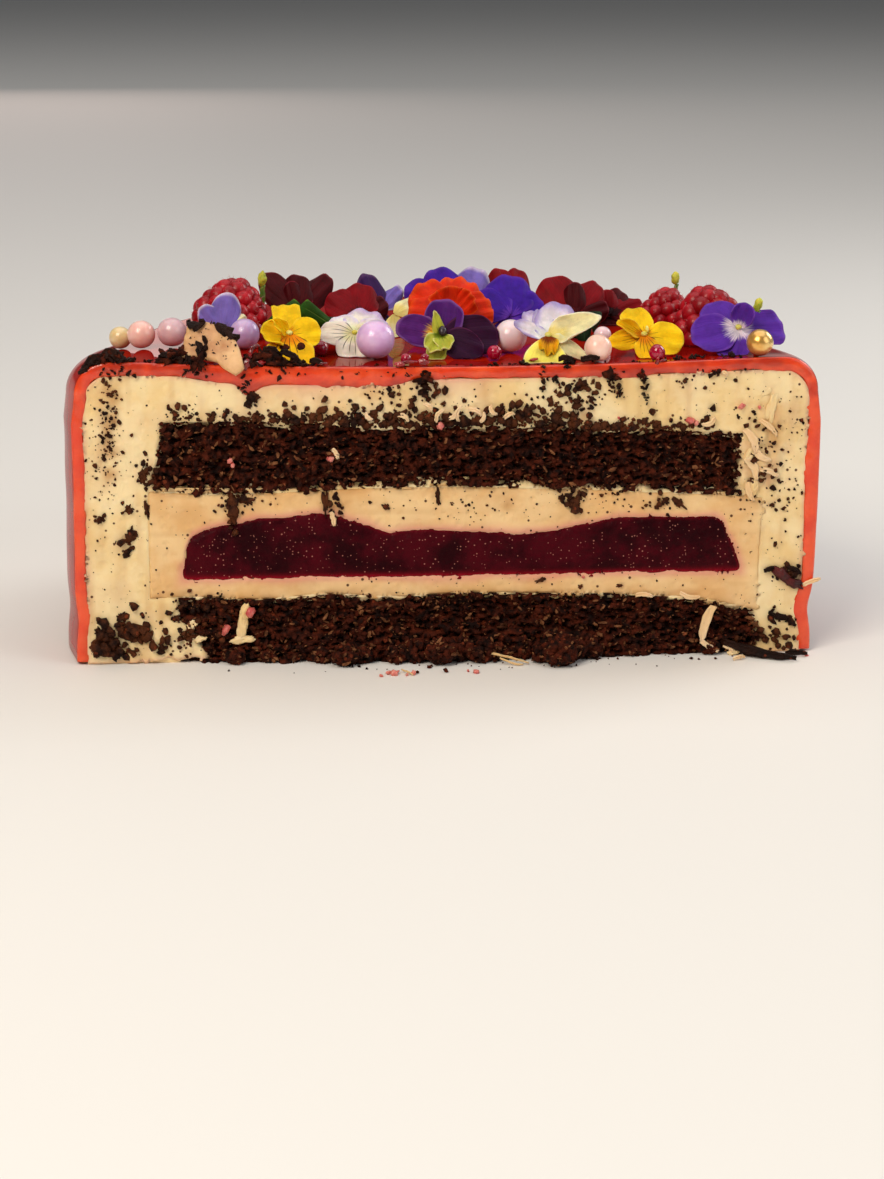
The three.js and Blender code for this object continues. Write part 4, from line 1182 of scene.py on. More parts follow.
# the other clouds: middle x and z, spreads of x and z, count, smallest and largest crumb
for px, pz, sx, sz, count, small, large in (
    (-81.5, 60, 1.9, 7.5, 120, 0.16, 0.62), (-83, 51, 2.2, 6, 70, 0.14, 0.42),
    (-77.3, 38.1, 0.8, 1, 6, 0.4, 0.95), (-77.3, 30.7, 1, 1.3, 10, 0.4, 1.1),
    (-77.4, 27.8, 0.4, 0.6, 4, 0.4, 0.8), (-83.9, 36.2, 0.7, 0.5, 5, 0.4, 0.8),
    (-72.5, 47, 1.2, 4.5, 26, 0.3, 0.9), (-52.4, 37, 0.5, 2, 34, 0.35, 1),
    (-52, 40.6, 1, 0.8, 14, 0.4, 1.2), (-50.5, 39.5, 3, 1.3, 20, 0.3, 0.7),
    (-27.7, 38.6, 0.7, 1.6, 14, 0.35, 0.8), (30.7, 39.8, 1.8, 1.5, 26, 0.3, 0.9),
    (40, 40.5, 2.5, 1.2, 14, 0.25, 0.6), (51.6, 38.6, 2.2, 1.5, 22, 0.3, 0.8),
    (7, 39, 12, 1.6, 30, 0.15, 0.5), (-47.6, 64.6, 0.7, 1.6, 12, 0.4, 0.9),
    (-5, 67.4, 1.8, 1.6, 26, 0.4, 1.1), (-12, 66, 3.5, 1.8, 30, 0.3, 0.8),
    (31, 66, 2.5, 2.2, 40, 0.4, 1.1), (27, 63, 4, 2.5, 40, 0.3, 0.9),
    (39, 67, 1.3, 1.5, 18, 0.3, 0.8), (57, 67.8, 1.8, 0.9, 12, 0.3, 0.7),
    (75, 50, 3.2, 6.5, 70, 0.25, 0.9), (79, 41, 2.5, 3, 30, 0.25, 0.8),
    (82, 60, 3, 8, 30, 0.12, 0.5), (82, 32, 2.4, 8, 22, 0.15, 0.6),
    (83.5, 20.5, 2.2, 0.9, 34, 0.4, 1), (83, 8.5, 2.2, 1, 22, 0.4, 0.9),
    (80, 4, 3.4, 1.6, 36, 0.4, 1.1), (-81, 6, 3.2, 2.8, 36, 0.7, 1.9),
    (-76, 9.5, 2.2, 2.2, 12, 0.6, 1.7), (-84, 3.4, 1.6, 1.6, 16, 0.8, 2),
    (-71, 5.5, 3.5, 1.8, 14, 0.4, 1.3), (-62, 7, 3.5, 3.5, 60, 0.35, 1.1),
    (-58, 13, 4, 2.4, 40, 0.3, 0.9), (-50, 12, 3, 2.4, 22, 0.3, 0.8),
):
    clouds.append(scatter(count, (px, pz), (sx, sz), (small, large)))
places, radii = (np.concatenate(part) for part in zip(*clouds))
crumbs("dragged_crumbs", places, radii, loose_crumb, "chocolate_sponge", 14, rough=0.4)

# %% [markdown]
# Vanilla seeds are finer than crumbs and lie all over both mousses, a little closer on the right.

# %% Vanilla seeds
SEED_TRIES = 5200
x, z = draw.uniform(-87, 87, SEED_TRIES), draw.uniform(1, 70, SEED_TRIES)
pale = np.minimum(mousse_face(x, z), insert_face(x, z)) < -0.9
density = 0.17 + 0.1 * (x > 0)
stays = pale & (draw.random(SEED_TRIES) < density)
x, z = x[stays], z[stays]
size = 0.09 + 0.2 * draw.random(len(x)) ** 3
crumbs("vanilla_seeds", on_mousse(x, z, 0.1 * size), size, loose_crumb, "vanilla_mousse", 15)

# %% [markdown]
# Sugar pearls are nearly round: a little uneven, and flattened where they lie. Each takes its
# middle and its radius from the solid that it stands for.

# %% Sugar pearls and berry beads


def rounded(name, node, slot, look, uneven, seed):
    low, high = span(node)
    middle, radius = (low + high) / 2, (high[0] - low[0]) / 2
    points, faces = ball(5)
    lump = noise(points[:, 0] * 1.3 + seed, points[:, 1] * 1.3, seed)
    lump += noise(points[:, 2] * 1.7 + seed, points[:, 0] * 1.7, seed + 1)
    out_by = 1 + uneven * lump - 0.02 * (1 - ease(-1, -0.8, points[:, 2]))
    made = mesh_piece(name, middle + points * (radius * out_by)[:, None], faces, [look])
    return serve(made, slot, node)


PEARL_SLOTS = {
    "pearl_cream": "pearl_cream",
    "pearl_pink": "pearl_pink",
    "pearl_rose_grey": "pearl_rose_grey",
    "pearl_lilac": "pearl_lilac",
    "pearl_lilac_large": "pearl_pale_lilac",
    "pearl_white_pink": "pearl_white",
    "pearl_white": "pearl_white",
    "pearl_blush": "pearl_blush",
    "pearl_gold": "pearl_gold",
}
for seed, (node, slot) in enumerate(PEARL_SLOTS.items()):
    rounded("sugar_" + node, node, slot, pearl_finish[slot], 0.012, seed + 1)
for seed, end in enumerate(("left", "middle", "right", "drop_left", "drop_right")):
    rounded("berry_bead_" + end, "bead_" + end, "berry_bead", bead_gloss, 0.03, seed + 20)

# %% [markdown]
# A raspberry is a heap of small round drupelets on a blunt cone, each with a few fine hairs. The
# drupelets sit in a spiral, so that they pack as the real ones do, and each is its own ball sunk
# in the next. The cone stands on its open end.

# %% Hairs and spirals
HAIRS_EACH = 3  # on each drupelet


def spiral(count):
    """Directions spread evenly over a ball."""
    i = np.arange(count)
    z = 1 - (2 * i + 1) / count
    r = np.sqrt(1 - z * z)
    turn = i * math.pi * (3 - math.sqrt(5))
    return np.stack([r * np.cos(turn), r * np.sin(turn), z], 1)


def hairs(draw, way, centres, size):
    """Points and faces of fine hairs, each a thin bent spike of three sides."""
    tips, faces = [], []
    for k in range(len(way) * HAIRS_EACH):
        i = k % len(way)
        out_way = way[i] + draw.normal(0, 0.4, 3)
        out_way /= np.linalg.norm(out_way)
        foot = centres[i] + out_way * size[i] * 0.98
        bend = draw.normal(0, 0.5, 3)
        side = np.cross(out_way, [0.3, 0.5, 0.8])
        side /= np.linalg.norm(side)
        other = np.cross(out_way, side)
        start = len(tips)
        for share, thin in ((0, 0.05), (0.5, 0.035)):
            for turn in range(3):
                a = turn * 2 * math.pi / 3
                ring_way = math.cos(a) * side + math.sin(a) * other
                tips.append(foot + out_way * share * 0.9 + bend * share**2 * 0.6 + ring_way * thin)
        tips.append(foot + out_way * 0.9 + bend * 0.6)
        for turn in range(3):
            a, b = start + turn, start + (turn + 1) % 3
            faces += [(a, b, b + 3), (a, b + 3, a + 3), (a + 3, b + 3, start + 6)]
        faces.append((start + 2, start + 1, start))
    return np.array(tips), faces


print("a spiral's first direction:", spiral(50)[0].round(2))

# %% [markdown]
# The whole berry is then tilted and set down on the glaze: whatever would pass into the glaze is
# lifted onto it. The smooth core fills the gaps between the drupelets.

# %% Raspberries


def set_down(points, lean, base):
    """Tilts points about their foot and keeps them above the glaze."""
    points = points @ np.array(Matrix.Rotation(lean, 3, "Y")).T + base
    points[:, 2] = np.maximum(points[:, 2], top_of_glaze(points[:, 0], points[:, 1]) + 0.05)
    return points


def raspberry(node, drupelets, lean, seed):
    low, high = span(node)
    middle = (low + high) / 2
    radius, height = (high[1] - low[1]) / 2, high[2] - low[2]
    base = np.array([middle[0], middle[1], low[2]])
    draw = np.random.default_rng(seed)
    way = spiral(drupelets)
    way = way[way[:, 2] > -0.72]
    taper = 1 - 0.3 * ease(-0.2, 1, way[:, 2])
    centres = np.stack([
        way[:, 0] * radius * taper * 0.86,
        way[:, 1] * radius * taper * 0.86,
        (0.4 + 0.47 * way[:, 2]) * height,
    ], 1)
    size = radius * math.sqrt(4 * math.pi / drupelets) * 0.62 * draw.uniform(0.9, 1.08, len(way))
    unit, triangles = ball(3)
    points = (centres[:, None] + unit[None] * size[:, None, None]).reshape(-1, 3)
    faces = (triangles[None] + (np.arange(len(way)) * len(unit))[:, None, None]).reshape(-1, 3)
    core = unit * np.array([radius * 0.72, radius * 0.72, height * 0.42]) + np.array([0, 0, height * 0.42])
    faces = np.concatenate([faces, triangles + len(points)])
    points = np.concatenate([points, core])
    points = set_down(points, lean, base)
    serve(mesh_piece(node + "_drupelets", points, faces, [raspberry_skin]), "raspberry", node)
    tips, faces = hairs(draw, way, centres, size)
    serve(mesh_piece(node + "_hairs", set_down(tips, lean, base), faces, [berry_hair]), "raspberry")


raspberry("raspberry_left", 62, 0.2, 31)
raspberry("raspberry_right", 48, -0.15, 32)
raspberry("raspberry_behind", 52, 0.2, 33)

# %% [markdown]
# A petal starts as a square of points. Across, it opens from a narrow claw to its full width; its
# far edge is an ellipse, so the outline is round; and cupping, curling and ruffling push it out
# of its plane. A flower is a list of petals round one heart, leaned back on the glaze. Where a
# petal would pass into the glaze, it drapes on it instead. Solidify then gives it a thickness.

# %% A maker of petals and flowers


def petal_sheet(length, width, form, seed, columns=23, rows=19):
    """Points of one petal, pointing up, in its flower's plane, with their (u, v)."""
    t, v = np.meshgrid(np.linspace(-1, 1, columns), np.linspace(0, 1, rows))
    u = np.sin(t * math.pi / 2)
    claw, shoulder = form.get("claw", 0.16), form.get("shoulder", 0.5)
    opens = claw + (1 - claw) * np.sin(np.minimum(1, v / form.get("widest", 0.7)) * math.pi / 2)
    x = width / 2 * u * opens
    round_tip = shoulder + (1 - shoulder) * np.sqrt(np.maximum(0, 1 - u**2)) ** form.get("point", 1)
    round_tip -= form.get("notch", 0) * bump(u, 0, 0.25)
    y = length * v * round_tip
    ruffle = form.get("ruffle", 0.35) * v**2 * np.sin(form.get("waves", 2.5) * math.pi * u + seed)
    z = form.get("cup", 0.8) * u**2 * v + form.get("curl", -1.2) * v**2 + ruffle
    z = z + 0.22 * v * noise(x / 2.2 + seed * 7.3, y / 2.8, seed)
    crease = form.get("crease", 0.35)
    z = z - crease * bump(u, 0, 0.16) * v * (1 - 0.5 * v)
    points, uv = np.stack([x, y, z], 2), np.stack([(u + 1) / 2, v], 2)
    return points.reshape(-1, 3), uv.reshape(-1, 2), rows, columns


def flower(node, kind, slot, at, lean, petals, extras=()):
    """at is (x, distance behind the cut, lift above the glaze). A petal is its direction clockwise
    from up, length, width, fold towards the viewer, finish and form. An extra is a small ball: its
    middle, its half sizes and its finish."""
    name = node + "_" + kind
    points, maps, faces, which, looks = [], [], [], [], []

    def add(part, uv, part_faces, look):
        faces.extend((part_faces + sum(map(len, points))).tolist())
        points.append(part)
        maps.append(uv)
        if look not in looks:
            looks.append(look)
        which.extend([looks.index(look)] * len(part_faces))

    for order, (direction, length, width, fold, finish, form) in enumerate(petals):
        sheet, uv, rows, columns = petal_sheet(length, width, form, order + len(name) * 0.37)
        f, d = math.radians(fold), math.radians(direction)
        x, up_petal, out_of_petal = sheet.T
        y = up_petal * math.cos(f) - out_of_petal * math.sin(f)
        z = up_petal * math.sin(f) + out_of_petal * math.cos(f) + form.get("layer", 0.0)
        turned = np.stack([x * math.cos(d) + y * math.sin(d), y * math.cos(d) - x * math.sin(d), z], 1)
        add(turned, uv, grid_faces(rows, columns), petal[finish])
    for middle, halves, look in extras:
        unit, triangles = ball(2)
        add(unit * np.array(halves) + np.array(middle), np.full((len(unit), 2), 0.5), triangles, look)
    stand = np.array(Matrix.Rotation(math.radians(90 - lean), 3, "X"))
    x0, y0 = at[0], CUT + at[1]
    points = np.concatenate(points) @ stand.T + np.array([x0, y0, float(top_of_glaze(x0, y0)) + at[2]])
    floor = top_of_glaze(points[:, 0], points[:, 1]) + 0.2
    draped = floor + 0.03 * (floor - points[:, 2])
    points[:, 2] = np.where(points[:, 2] < floor, draped, points[:, 2])
    made = mesh_piece(name, points, faces, looks, which, uv=np.concatenate(maps))
    return serve(thicken(made, 0.26), slot, node)


print("a petal has", len(petal_sheet(10, 8, {}, 0)[0]), "points")

# %% [markdown]
# The flowers at the front are seen whole, so each is described petal by petal: violas with two
# petals up, two to the sides and a lip below, and an orange pansy whose petals are folded. Small
# balls give them their yellow or dark hearts, and crumbs that have fallen on a lip.

# %% Flowers at the front
FOLDED = {"cup": -1.2, "curl": -2.4, "ruffle": 1.0, "waves": 3.6, "shoulder": 0.62, "crease": 0.6}
FLOWERS = (
    ("viola_yellow_left", "viola_yellow", (-38, 10, 6), 34, [
        (-4, 9.8, 6.8, -4, "yellow", {"shoulder": 0.92, "curl": -2, "layer": -0.7, "widest": 0.45}),
        (-96, 7.6, 6.6, 16, "yellow", {"curl": 1.6, "ruffle": 0.5}),
        (-60, 6.2, 3, 34, "yellow", {"curl": 1.2}),
        (84, 7.6, 8, 12, "yellow", {"cup": 1, "shoulder": 0.6}),
        (180, 10.6, 11.5, 16, "yellow lip",
         {"layer": 0.5, "notch": 0.06, "curl": -1.6, "shoulder": 0.62}),
    ], [
        ((0, 0.3, 0.9), (0.7, 0.5, 0.5), stamen), ((-1.3, -3.9, 1.62), (1.1, 0.8, 0.1), sponge_crumb),
        ((2.7, -3.8, 1.62), (0.9, 1.1, 0.1), sponge_crumb),
    ]),
    ("viola_cream", "viola_cream", (-21.6, 20.8, 4.6), 44, [
        (-46, 8, 8.2, 0, "cream", {"layer": -0.5, "cup": 0.6}),
        (34, 11.4, 10.8, -4, "cream rim", {"layer": -0.6, "curl": -2.6, "ruffle": 0.6}),
        (-88, 8.6, 7.4, 10, "cream lines", {"cup": 0.8}),
        (82, 9.2, 8.2, 8, "cream", {"curl": -1.6}),
        (180, 9.2, 9.4, 8, "cream lines", {"layer": 0.5, "notch": 0.05}),
    ], [((0, 0.2, 0.8), (0.6, 0.5, 0.5), stamen)]),
    ("viola_purple", "viola_purple", (-1, 15, 5), 38, [
        (12, 10.8, 9.4, 0, "purple", {"layer": -0.9, "cup": 1.2, "curl": 0.6}),
        (-78, 11.2, 8.6, 14, "flame", {"cup": 0.8}),
        (84, 14.8, 11, -2, "near black", {"layer": -0.4, "curl": -1, "shoulder": 0.6}),
        (116, 11.2, 8.4, 8, "near black", {"layer": 0.1}),
        (-14, 6.2, 3.2, 34, "bud", {"layer": 0.5, "point": 2.4, "cup": 0.9, "shoulder": 0.2}),
        (-150, 6.8, 5.4, 30, "bud", {"layer": 0.7, "cup": 1.0}),
        (168, 5.4, 5, 34, "bud", {"layer": 0.8, "cup": 1.0}),
        (-165, 8.4, 5, 8, "bud", {"layer": 0.0}),
    ], [((0.4, 0.6, 1.8), (0.9, 1.3, 0.8), dark_heart)]),
    ("viola_white_lilac", "viola_white_lilac", (24.6, 9, 5.2), 38, [
        (-50, 9.8, 4, -2, "white lilac", {"layer": -0.5, "curl": -1.8}),
        (-26, 10.6, 5, -4, "white lilac", {"layer": -0.9, "curl": -1.8}),
        (-6, 9.8, 5.4, -4, "white lilac", {"layer": -0.7, "curl": -1.4}),
        (24, 12.6, 9.8, -4, "white lilac", {"layer": -0.8, "cup": 1.2, "curl": -1.6}),
        (70, 14, 6.4, 2, "ivory", {"point": 1.8, "shoulder": 0.3, "curl": 2, "cup": 1.0}),
        (120, 11, 4.8, 10, "ivory", {"point": 1.8, "shoulder": 0.3, "curl": -1.8}),
        (-170, 9.8, 10.6, 10, "sun lip",
         {"layer": 0.6, "shoulder": 0.85, "notch": 0.05, "widest": 0.9}),
        (-176, 5.6, 4.6, 24, "flame lip", {"layer": 0.9, "ruffle": 0.8}),
    ], [((0, 0.4, 1), (0.8, 0.6, 0.6), stamen)]),
    ("viola_yellow_right", "viola_yellow", (48.6, 12, 4.6), 40, [
        (-12, 10.2, 7.8, -6, "yellow", {"layer": -0.6, "cup": 1.2, "shoulder": 0.6}),
        (60, 7.4, 3.6, 4, "yellow", {"point": 1.8, "layer": -0.3}),
        (100, 9.8, 9.2, 10, "yellow", {"cup": 0.9, "shoulder": 0.6}),
        (-104, 9.4, 5.4, 10, "yellow lip", {"curl": -1.2}),
        (-72, 8, 3.6, 20, "yellow lip", {"curl": 0.8}),
        (172, 8.8, 6.4, 8, "yellow lip", {"layer": 0.4, "curl": -1.0}),
    ], [((0, 0.3, 0.9), (0.7, 0.5, 0.5), stamen), ((0.8, 1.4, 1.2), (0.3, 0.9, 0.3), stamen)]),
    ("viola_blue", "viola_blue", (72, 12.5, 6), 38, [
        (-104, 12.2, 10.4, 8, "blue", {"cup": 1.4, "layer": 0.3, "shoulder": 0.6}),
        (-44, 10.6, 10.2, 0, "blue", {"layer": -0.5, "curl": -1.6}),
        (20, 6.4, 5.6, 24, "blue", {"layer": 0.6, "curl": 1.2, "cup": 1.4}),
        (80, 12.6, 9.6, -6, "blue", {"layer": -0.4, "shoulder": 0.8, "curl": -1.4}),
        (-158, 9.8, 8.8, 6, "blue", {"layer": 0.4}),
        (44, 10.4, 2.8, -12, "bud", {"layer": -1.2, "point": 1.6}),
    ], [((0, 0.2, 1), (0.7, 0.6, 0.5), stamen)]),
    ("pansy_orange", "pansy_orange", (3.6, 35.5, 7.4), 34, [
        (-82, 10.6, 11.5, 4, "orange", FOLDED),
        (-38, 12.8, 11.5, -2, "orange", {**FOLDED, "layer": -0.8, "waves": 2.7}),
        (20, 13, 12.4, -4, "orange", {**FOLDED, "layer": -1, "waves": 3.1}),
        (72, 11, 11.5, 4, "orange", {**FOLDED, "layer": -0.2}),
        (-62, 7, 7.6, 26, "orange", {**FOLDED, "curl": 0.6, "layer": 0.4, "waves": 2.2}),
        (0, 7, 8.4, 30, "orange", {**FOLDED, "curl": 0.8, "layer": 0.3, "waves": 2.6}),
        (54, 7.4, 7.4, 32, "orange", {**FOLDED, "curl": 0.6, "layer": 0.5}),
        (180, 10.6, 10.4, 14, "orange", {**FOLDED, "layer": 0.4}),
    ], []),
)
for node, slot, at, lean, petals, extras in FLOWERS:
    flower(node, "petals", slot, at, lean, petals, extras)

# %% [markdown]
# The flowers further back are only seen over the others, so their petals share one form, and
# each petal lies a little behind the one before it. Leaves share another: pointed and creased.

# %% Flowers behind, and leaves
BEHIND = {"cup": -1.0, "curl": -1.6, "ruffle": 0.5}
FLOWERS_BEHIND = (
    ("viola_blue_behind", "viola_violet", (19.8, 47, 5), 36, [
        (-50, 11, 10.6, 0, "violet"), (4, 13.2, 13, -2, "violet"), (52, 10.6, 11, 0, "violet"),
        (180, 9, 8.6, 8, "violet"),
    ]),
    ("viola_violet_behind", "viola_violet", (7.6, 57, 5), 36, [
        (-58, 15.4, 11, 0, "violet"), (-22, 14.6, 12, -2, "violet"), (26, 15.6, 11, -4, "lilac"),
        (-100, 13, 9, 0, "violet"), (180, 8, 7.6, 6, "violet"),
    ]),
    ("viola_dark_behind", "viola_dark", (-12.6, 57.5, 5), 36, [
        (-18, 12, 7.2, 0, "dark violet"), (36, 9.8, 5.0, 0, "lilac"), (180, 8, 6.4, 6, "dark violet"),
    ]),
    ("petal_cream", "petal_cream", (-9.6, 49, 5.4), 38, [
        (56, 9.8, 5.8, 0, "ivory"), (180, 7.8, 5, 10, "ivory"),
    ]),
    ("viola_lilac", "viola_lilac", (-54, 32, 3.4), 18, [
        (12, 10.4, 7.6, 4, "lilac"), (-34, 8.2, 5.6, 12, "lilac"), (54, 7.4, 3.8, 10, "ivory"),
        (180, 5.8, 5.4, 6, "lilac"),
    ]),
    ("red_blossom_left", "blossom_crimson", (-34, 56, 5.2), 34, [
        (-38, 14.2, 8.4, 0, "crimson"), (0, 10.4, 9, 6, "crimson"), (38, 14.2, 7.4, -2, "crimson"),
        (-12, 8, 5, 26, "crimson"), (180, 7, 7.4, 20, "crimson"),
    ]),
    ("red_petals_middle", "petal_red", (-19, 48, 5), 36, [
        (-42, 10, 9.8, 0, "red"), (8, 10, 10, 4, "red"), (52, 9.6, 7.4, -2, "crimson"),
        (180, 7, 6.6, 20, "crimson"),
    ]),
    ("red_blossom_right", "petal_red", (37, 50, 4.4), 34, [
        (-30, 13, 12.6, 0, "red"), (34, 12.6, 9, -2, "red"), (70, 9.8, 6.6, 4, "crimson"),
        (4, 9, 6, 24, "crimson"), (180, 6.4, 7.4, 20, "red"),
    ]),
    ("red_petals_behind", "petal_red", (22.4, 62, 4.4), 34, [
        (-16, 12.8, 8.4, 0, "red"), (10, 13.0, 8.4, -2, "red"), (180, 6, 7.4, 20, "red"),
    ]),
    ("red_blossom_low", "blossom_crimson", (48, 61, 2.8), 36, [
        (-36, 8.6, 8.4, 0, "crimson"), (22, 9.2, 8.4, -2, "crimson"), (66, 10, 7.4, 4, "red"),
        (-4, 7, 6, 26, "red"), (180, 4.6, 6.6, 20, "crimson"),
    ]),
)
for node, slot, at, lean, petals in FLOWERS_BEHIND:
    petals = [(*p, {**BEHIND, "layer": -0.3 * i}) for i, p in enumerate(petals)]
    flower(node, "petals", slot, at, lean, petals)

LEAF = {
    "point": 1.5, "shoulder": 0.12, "cup": -0.5, "curl": -2.2, "ruffle": 0.3, "crease": 0.7, "widest": 0.55,
}
LEAVES = (
    ("leaf_arched", "leaf_green", (-34.0, 37, 9.4), 20, "leaf", [
        (-118, 10.4, 4.6), (122, 10.4, 4.6),
    ]),
    ("leaf_dark", "leaf_dark", (37.6, 38, 4.4), 46, "dark leaf", [
        (-84, 8, 5.6), (44, 7.2, 5.6), (180, 6, 4),
    ]),
    ("leaf_small", "leaf_dark", (-23.6, 39.5, 4.2), 46, "dark leaf", [
        (-58, 7.4, 5.4), (50, 7.8, 5.6), (180, 5.8, 4),
    ]),
)
for node, slot, at, lean, finish, blades in LEAVES:
    flower(node, "blades", slot, at, lean, [(*blade, 0, finish, LEAF) for blade in blades])

# %% [markdown]
# A broken flake of mousse stands at the front edge. Its outline is given as places round it, its
# faces are wavy, and dark shavings have stuck along its upper edge.

# %% The flake
FLAKE_OUTLINE = [
    (-7.8, 0.9), (-7.3, 5.5), (-6.7, 9.8), (-4.4, 9.6), (-2.5, 10.2), (1.2, 8.9), (4.7, 6.9),
    (6.6, 3.0), (7.8, -0.9), (6.0, -2.8), (2.4, -0.9), (1.2, 0.5), (-3.4, 1.1),
]
FLAKE_LEAN, FLAKE_TURN = 0.5, -0.26


def flake_points(u, v, out_of_face):
    """Places on the flake: u across it, v up it, both in millimetres."""
    turn = Matrix.Rotation(FLAKE_TURN, 3, "Z") @ Matrix.Rotation(math.pi / 2 - FLAKE_LEAN, 3, "X")
    x0, y0 = -56.5, CUT - 0.2
    foot = np.array([x0, y0, float(top_of_glaze(x0, y0)) + 0.1])
    return np.stack([u, v, out_of_face], -1) @ np.array(turn).T + foot


def flake_piece():
    corners = np.array(FLAKE_OUTLINE)
    after = np.roll(corners, -1, 0)
    steps = np.linspace(0, 1, 9)[:-1, None]
    loop = np.concatenate([a * (1 - steps) + b * steps for a, b in zip(corners, after)])
    u, v = loop.T / 0.9
    loop = loop + 0.16 * np.stack([noise(u, v, 5), noise(v, u, 6)], 1)
    heart = loop.mean(0)
    count, rings, lay = len(loop), 11, []
    for side in (1, -1):
        for k, share in enumerate(np.linspace(1, 0.1, rings)):
            u, v = (heart + (loop - heart) * share).T
            swell = 0.62 + 0.5 * math.sin(math.pi / 2 * min(1, k / 2))
            wave = 0.3 * noise(u / 3, v / 3, 7 + side) + 0.12 * noise(u, v, 9)
            lay.append(flake_points(u, v, 0.7 + side * swell + wave))
    rings_of = np.arange(2 * rings * count).reshape(2, rings, count)
    faces = []
    for side in (0, 1):
        for k in range(rings - 1):
            near, far = rings_of[side, k], rings_of[side, k + 1]
            quads = np.stack([near, np.roll(near, -1), np.roll(far, -1), far], 1)
            faces += (quads[:, ::-1] if side else quads).tolist()
        cap = rings_of[side, -1].tolist()
        faces.append(cap[::-1] if side else cap)
    front, behind = rings_of[0, 0], rings_of[1, 0]
    faces += np.stack([np.roll(front, -1), front, behind, np.roll(behind, -1)], 1).tolist()
    return np.concatenate(lay), faces


points, faces = flake_piece()
# the flake takes the darker cream, whose brown is partly painted shade
serve(mesh_piece("mousse_flake_broken", points, faces, [flake_cream_in_painted_shade]), "vanilla_mousse", "mousse_flake")

# %% [markdown]
# The knife left other traces, which are neither layers nor round crumbs: thin curls of mousse,
# flat shards, and soft daubs. `ribbons` bends strips of squares along a line, and `daubs`
# flattens balls and makes them uneven. All traces of one kind become one mesh.

# %% Ribbons and daubs
EDGE_X, EDGE_Z = outer_line[on_top > 0.2].T


def edge_height(x):
    """Height of the glaze where the knife cut its top."""
    return np.interp(x, EDGE_X, EDGE_Z)


def ribbons(name, strips, look, slot, seed, thickness=0.4):
    """Each strip is its start and its end, as (x, ahead of the cut, z), its width and its arch."""
    rows, columns = 5, 17
    t, s = np.meshgrid(np.linspace(0, 1, columns), np.linspace(-1, 1, rows))
    points, faces = [], []
    for order, (start, end, width, arch) in enumerate(strips):
        start, way = np.array(start, float), np.subtract(end, start)
        across = np.array([-way[2], 0, way[0]]) / math.hypot(way[0], way[2])
        half = width / 2 * (0.35 + 0.65 * np.sin(math.pi * np.minimum(1, 0.08 + t)) ** 0.5)
        half = half * (1 + 0.3 * noise(t * 6, s * 1.5 + 3 * order, seed))
        sideways = arch * np.sin(math.pi * t) + s * half + 0.12 * noise(t * 9, order, seed + 1)
        place = start + way * t[..., None] + across * sideways[..., None]
        place[..., 1] += 0.35 * s**2 + 0.6 * abs(arch) * np.sin(math.pi * t)
        place[..., 1] = CUT - PROUD - place[..., 1]
        points.append(place.reshape(-1, 3))
        faces.append(grid_faces(rows, columns, order * rows * columns))
    made = mesh_piece(name, np.concatenate(points), np.concatenate(faces), [look])
    return serve(thicken(made, thickness), slot)


def daubs(name, places, look, slot, seed, uneven=0.3):
    """Each place is (x, ahead of the cut, z), its half length, depth and width, and its turn."""
    unit, triangles = ball(4)
    points = []
    for order, (middle, halves, turn) in enumerate(places):
        a = math.radians(turn)
        dents = 1 + uneven * noise(unit[:, 0] * 2.2 + order * 5, unit[:, 2] * 2.2, seed)
        dents += uneven / 2 * noise(unit[:, 0] * 5 + order, unit[:, 2] * 5, seed + 1)
        lump = unit * dents[:, None] * np.array(halves)
        x = lump[:, 0] * math.cos(a) - lump[:, 2] * math.sin(a)
        z = lump[:, 0] * math.sin(a) + lump[:, 2] * math.cos(a)
        z = np.maximum(z + middle[2], 0.05)
        points.append(np.stack([middle[0] + x, CUT - PROUD - middle[1] + lump[:, 1], z], 1))
    faces = [triangles + order * len(unit) for order in range(len(places))]
    return serve(mesh_piece(name, np.concatenate(points), np.concatenate(faces), [look]), slot)


print("the glaze is cut at", round(float(edge_height(0)), 2), "mm above the floor")

# %% [markdown]
# On the cut, mousse is smeared over the left end of the lower sponge, and pale curls have come
# off it at both ends and along the upper sponge. A faint stain makes them less white.

# %% Smears and curls of mousse
smears = daubs(
    "mousse_smears",
    [
        ((-49.4, 0.5, 12.4), (2.6, 0.8, 1.3), 76), ((-50.2, 0.7, 8.8), (3.2, 0.9, 1.2), 84),
        ((-50, 0.9, 5.9), (2.9, 0.8, 1.1), 6), ((-62.4, 0.3, 9.6), (1.6, 0.6, 1), 50),
        ((-60.6, 0.3, 6), (1.5, 0.6, 0.8), 10), ((74.2, 0.3, 41.5), (2.6, 0.7, 1.2), 74),
        ((73.4, 0.3, 50.2), (2.4, 0.7, 1), 60), ((70.6, 2.2, 0.7), (1.5, 0.8, 0.6), 8),
        ((78.4, 0.2, 61.6), (4.4, 0.4, 1.2), 82), ((76.6, 0.2, 65.2), (1.6, 0.35, 0.7), 40),
    ],
    vanilla_mousse, "vanilla_mousse", 110,
)
mark(smears, "cocoa", 0.12 * np.ones(len(smears.data.vertices)))
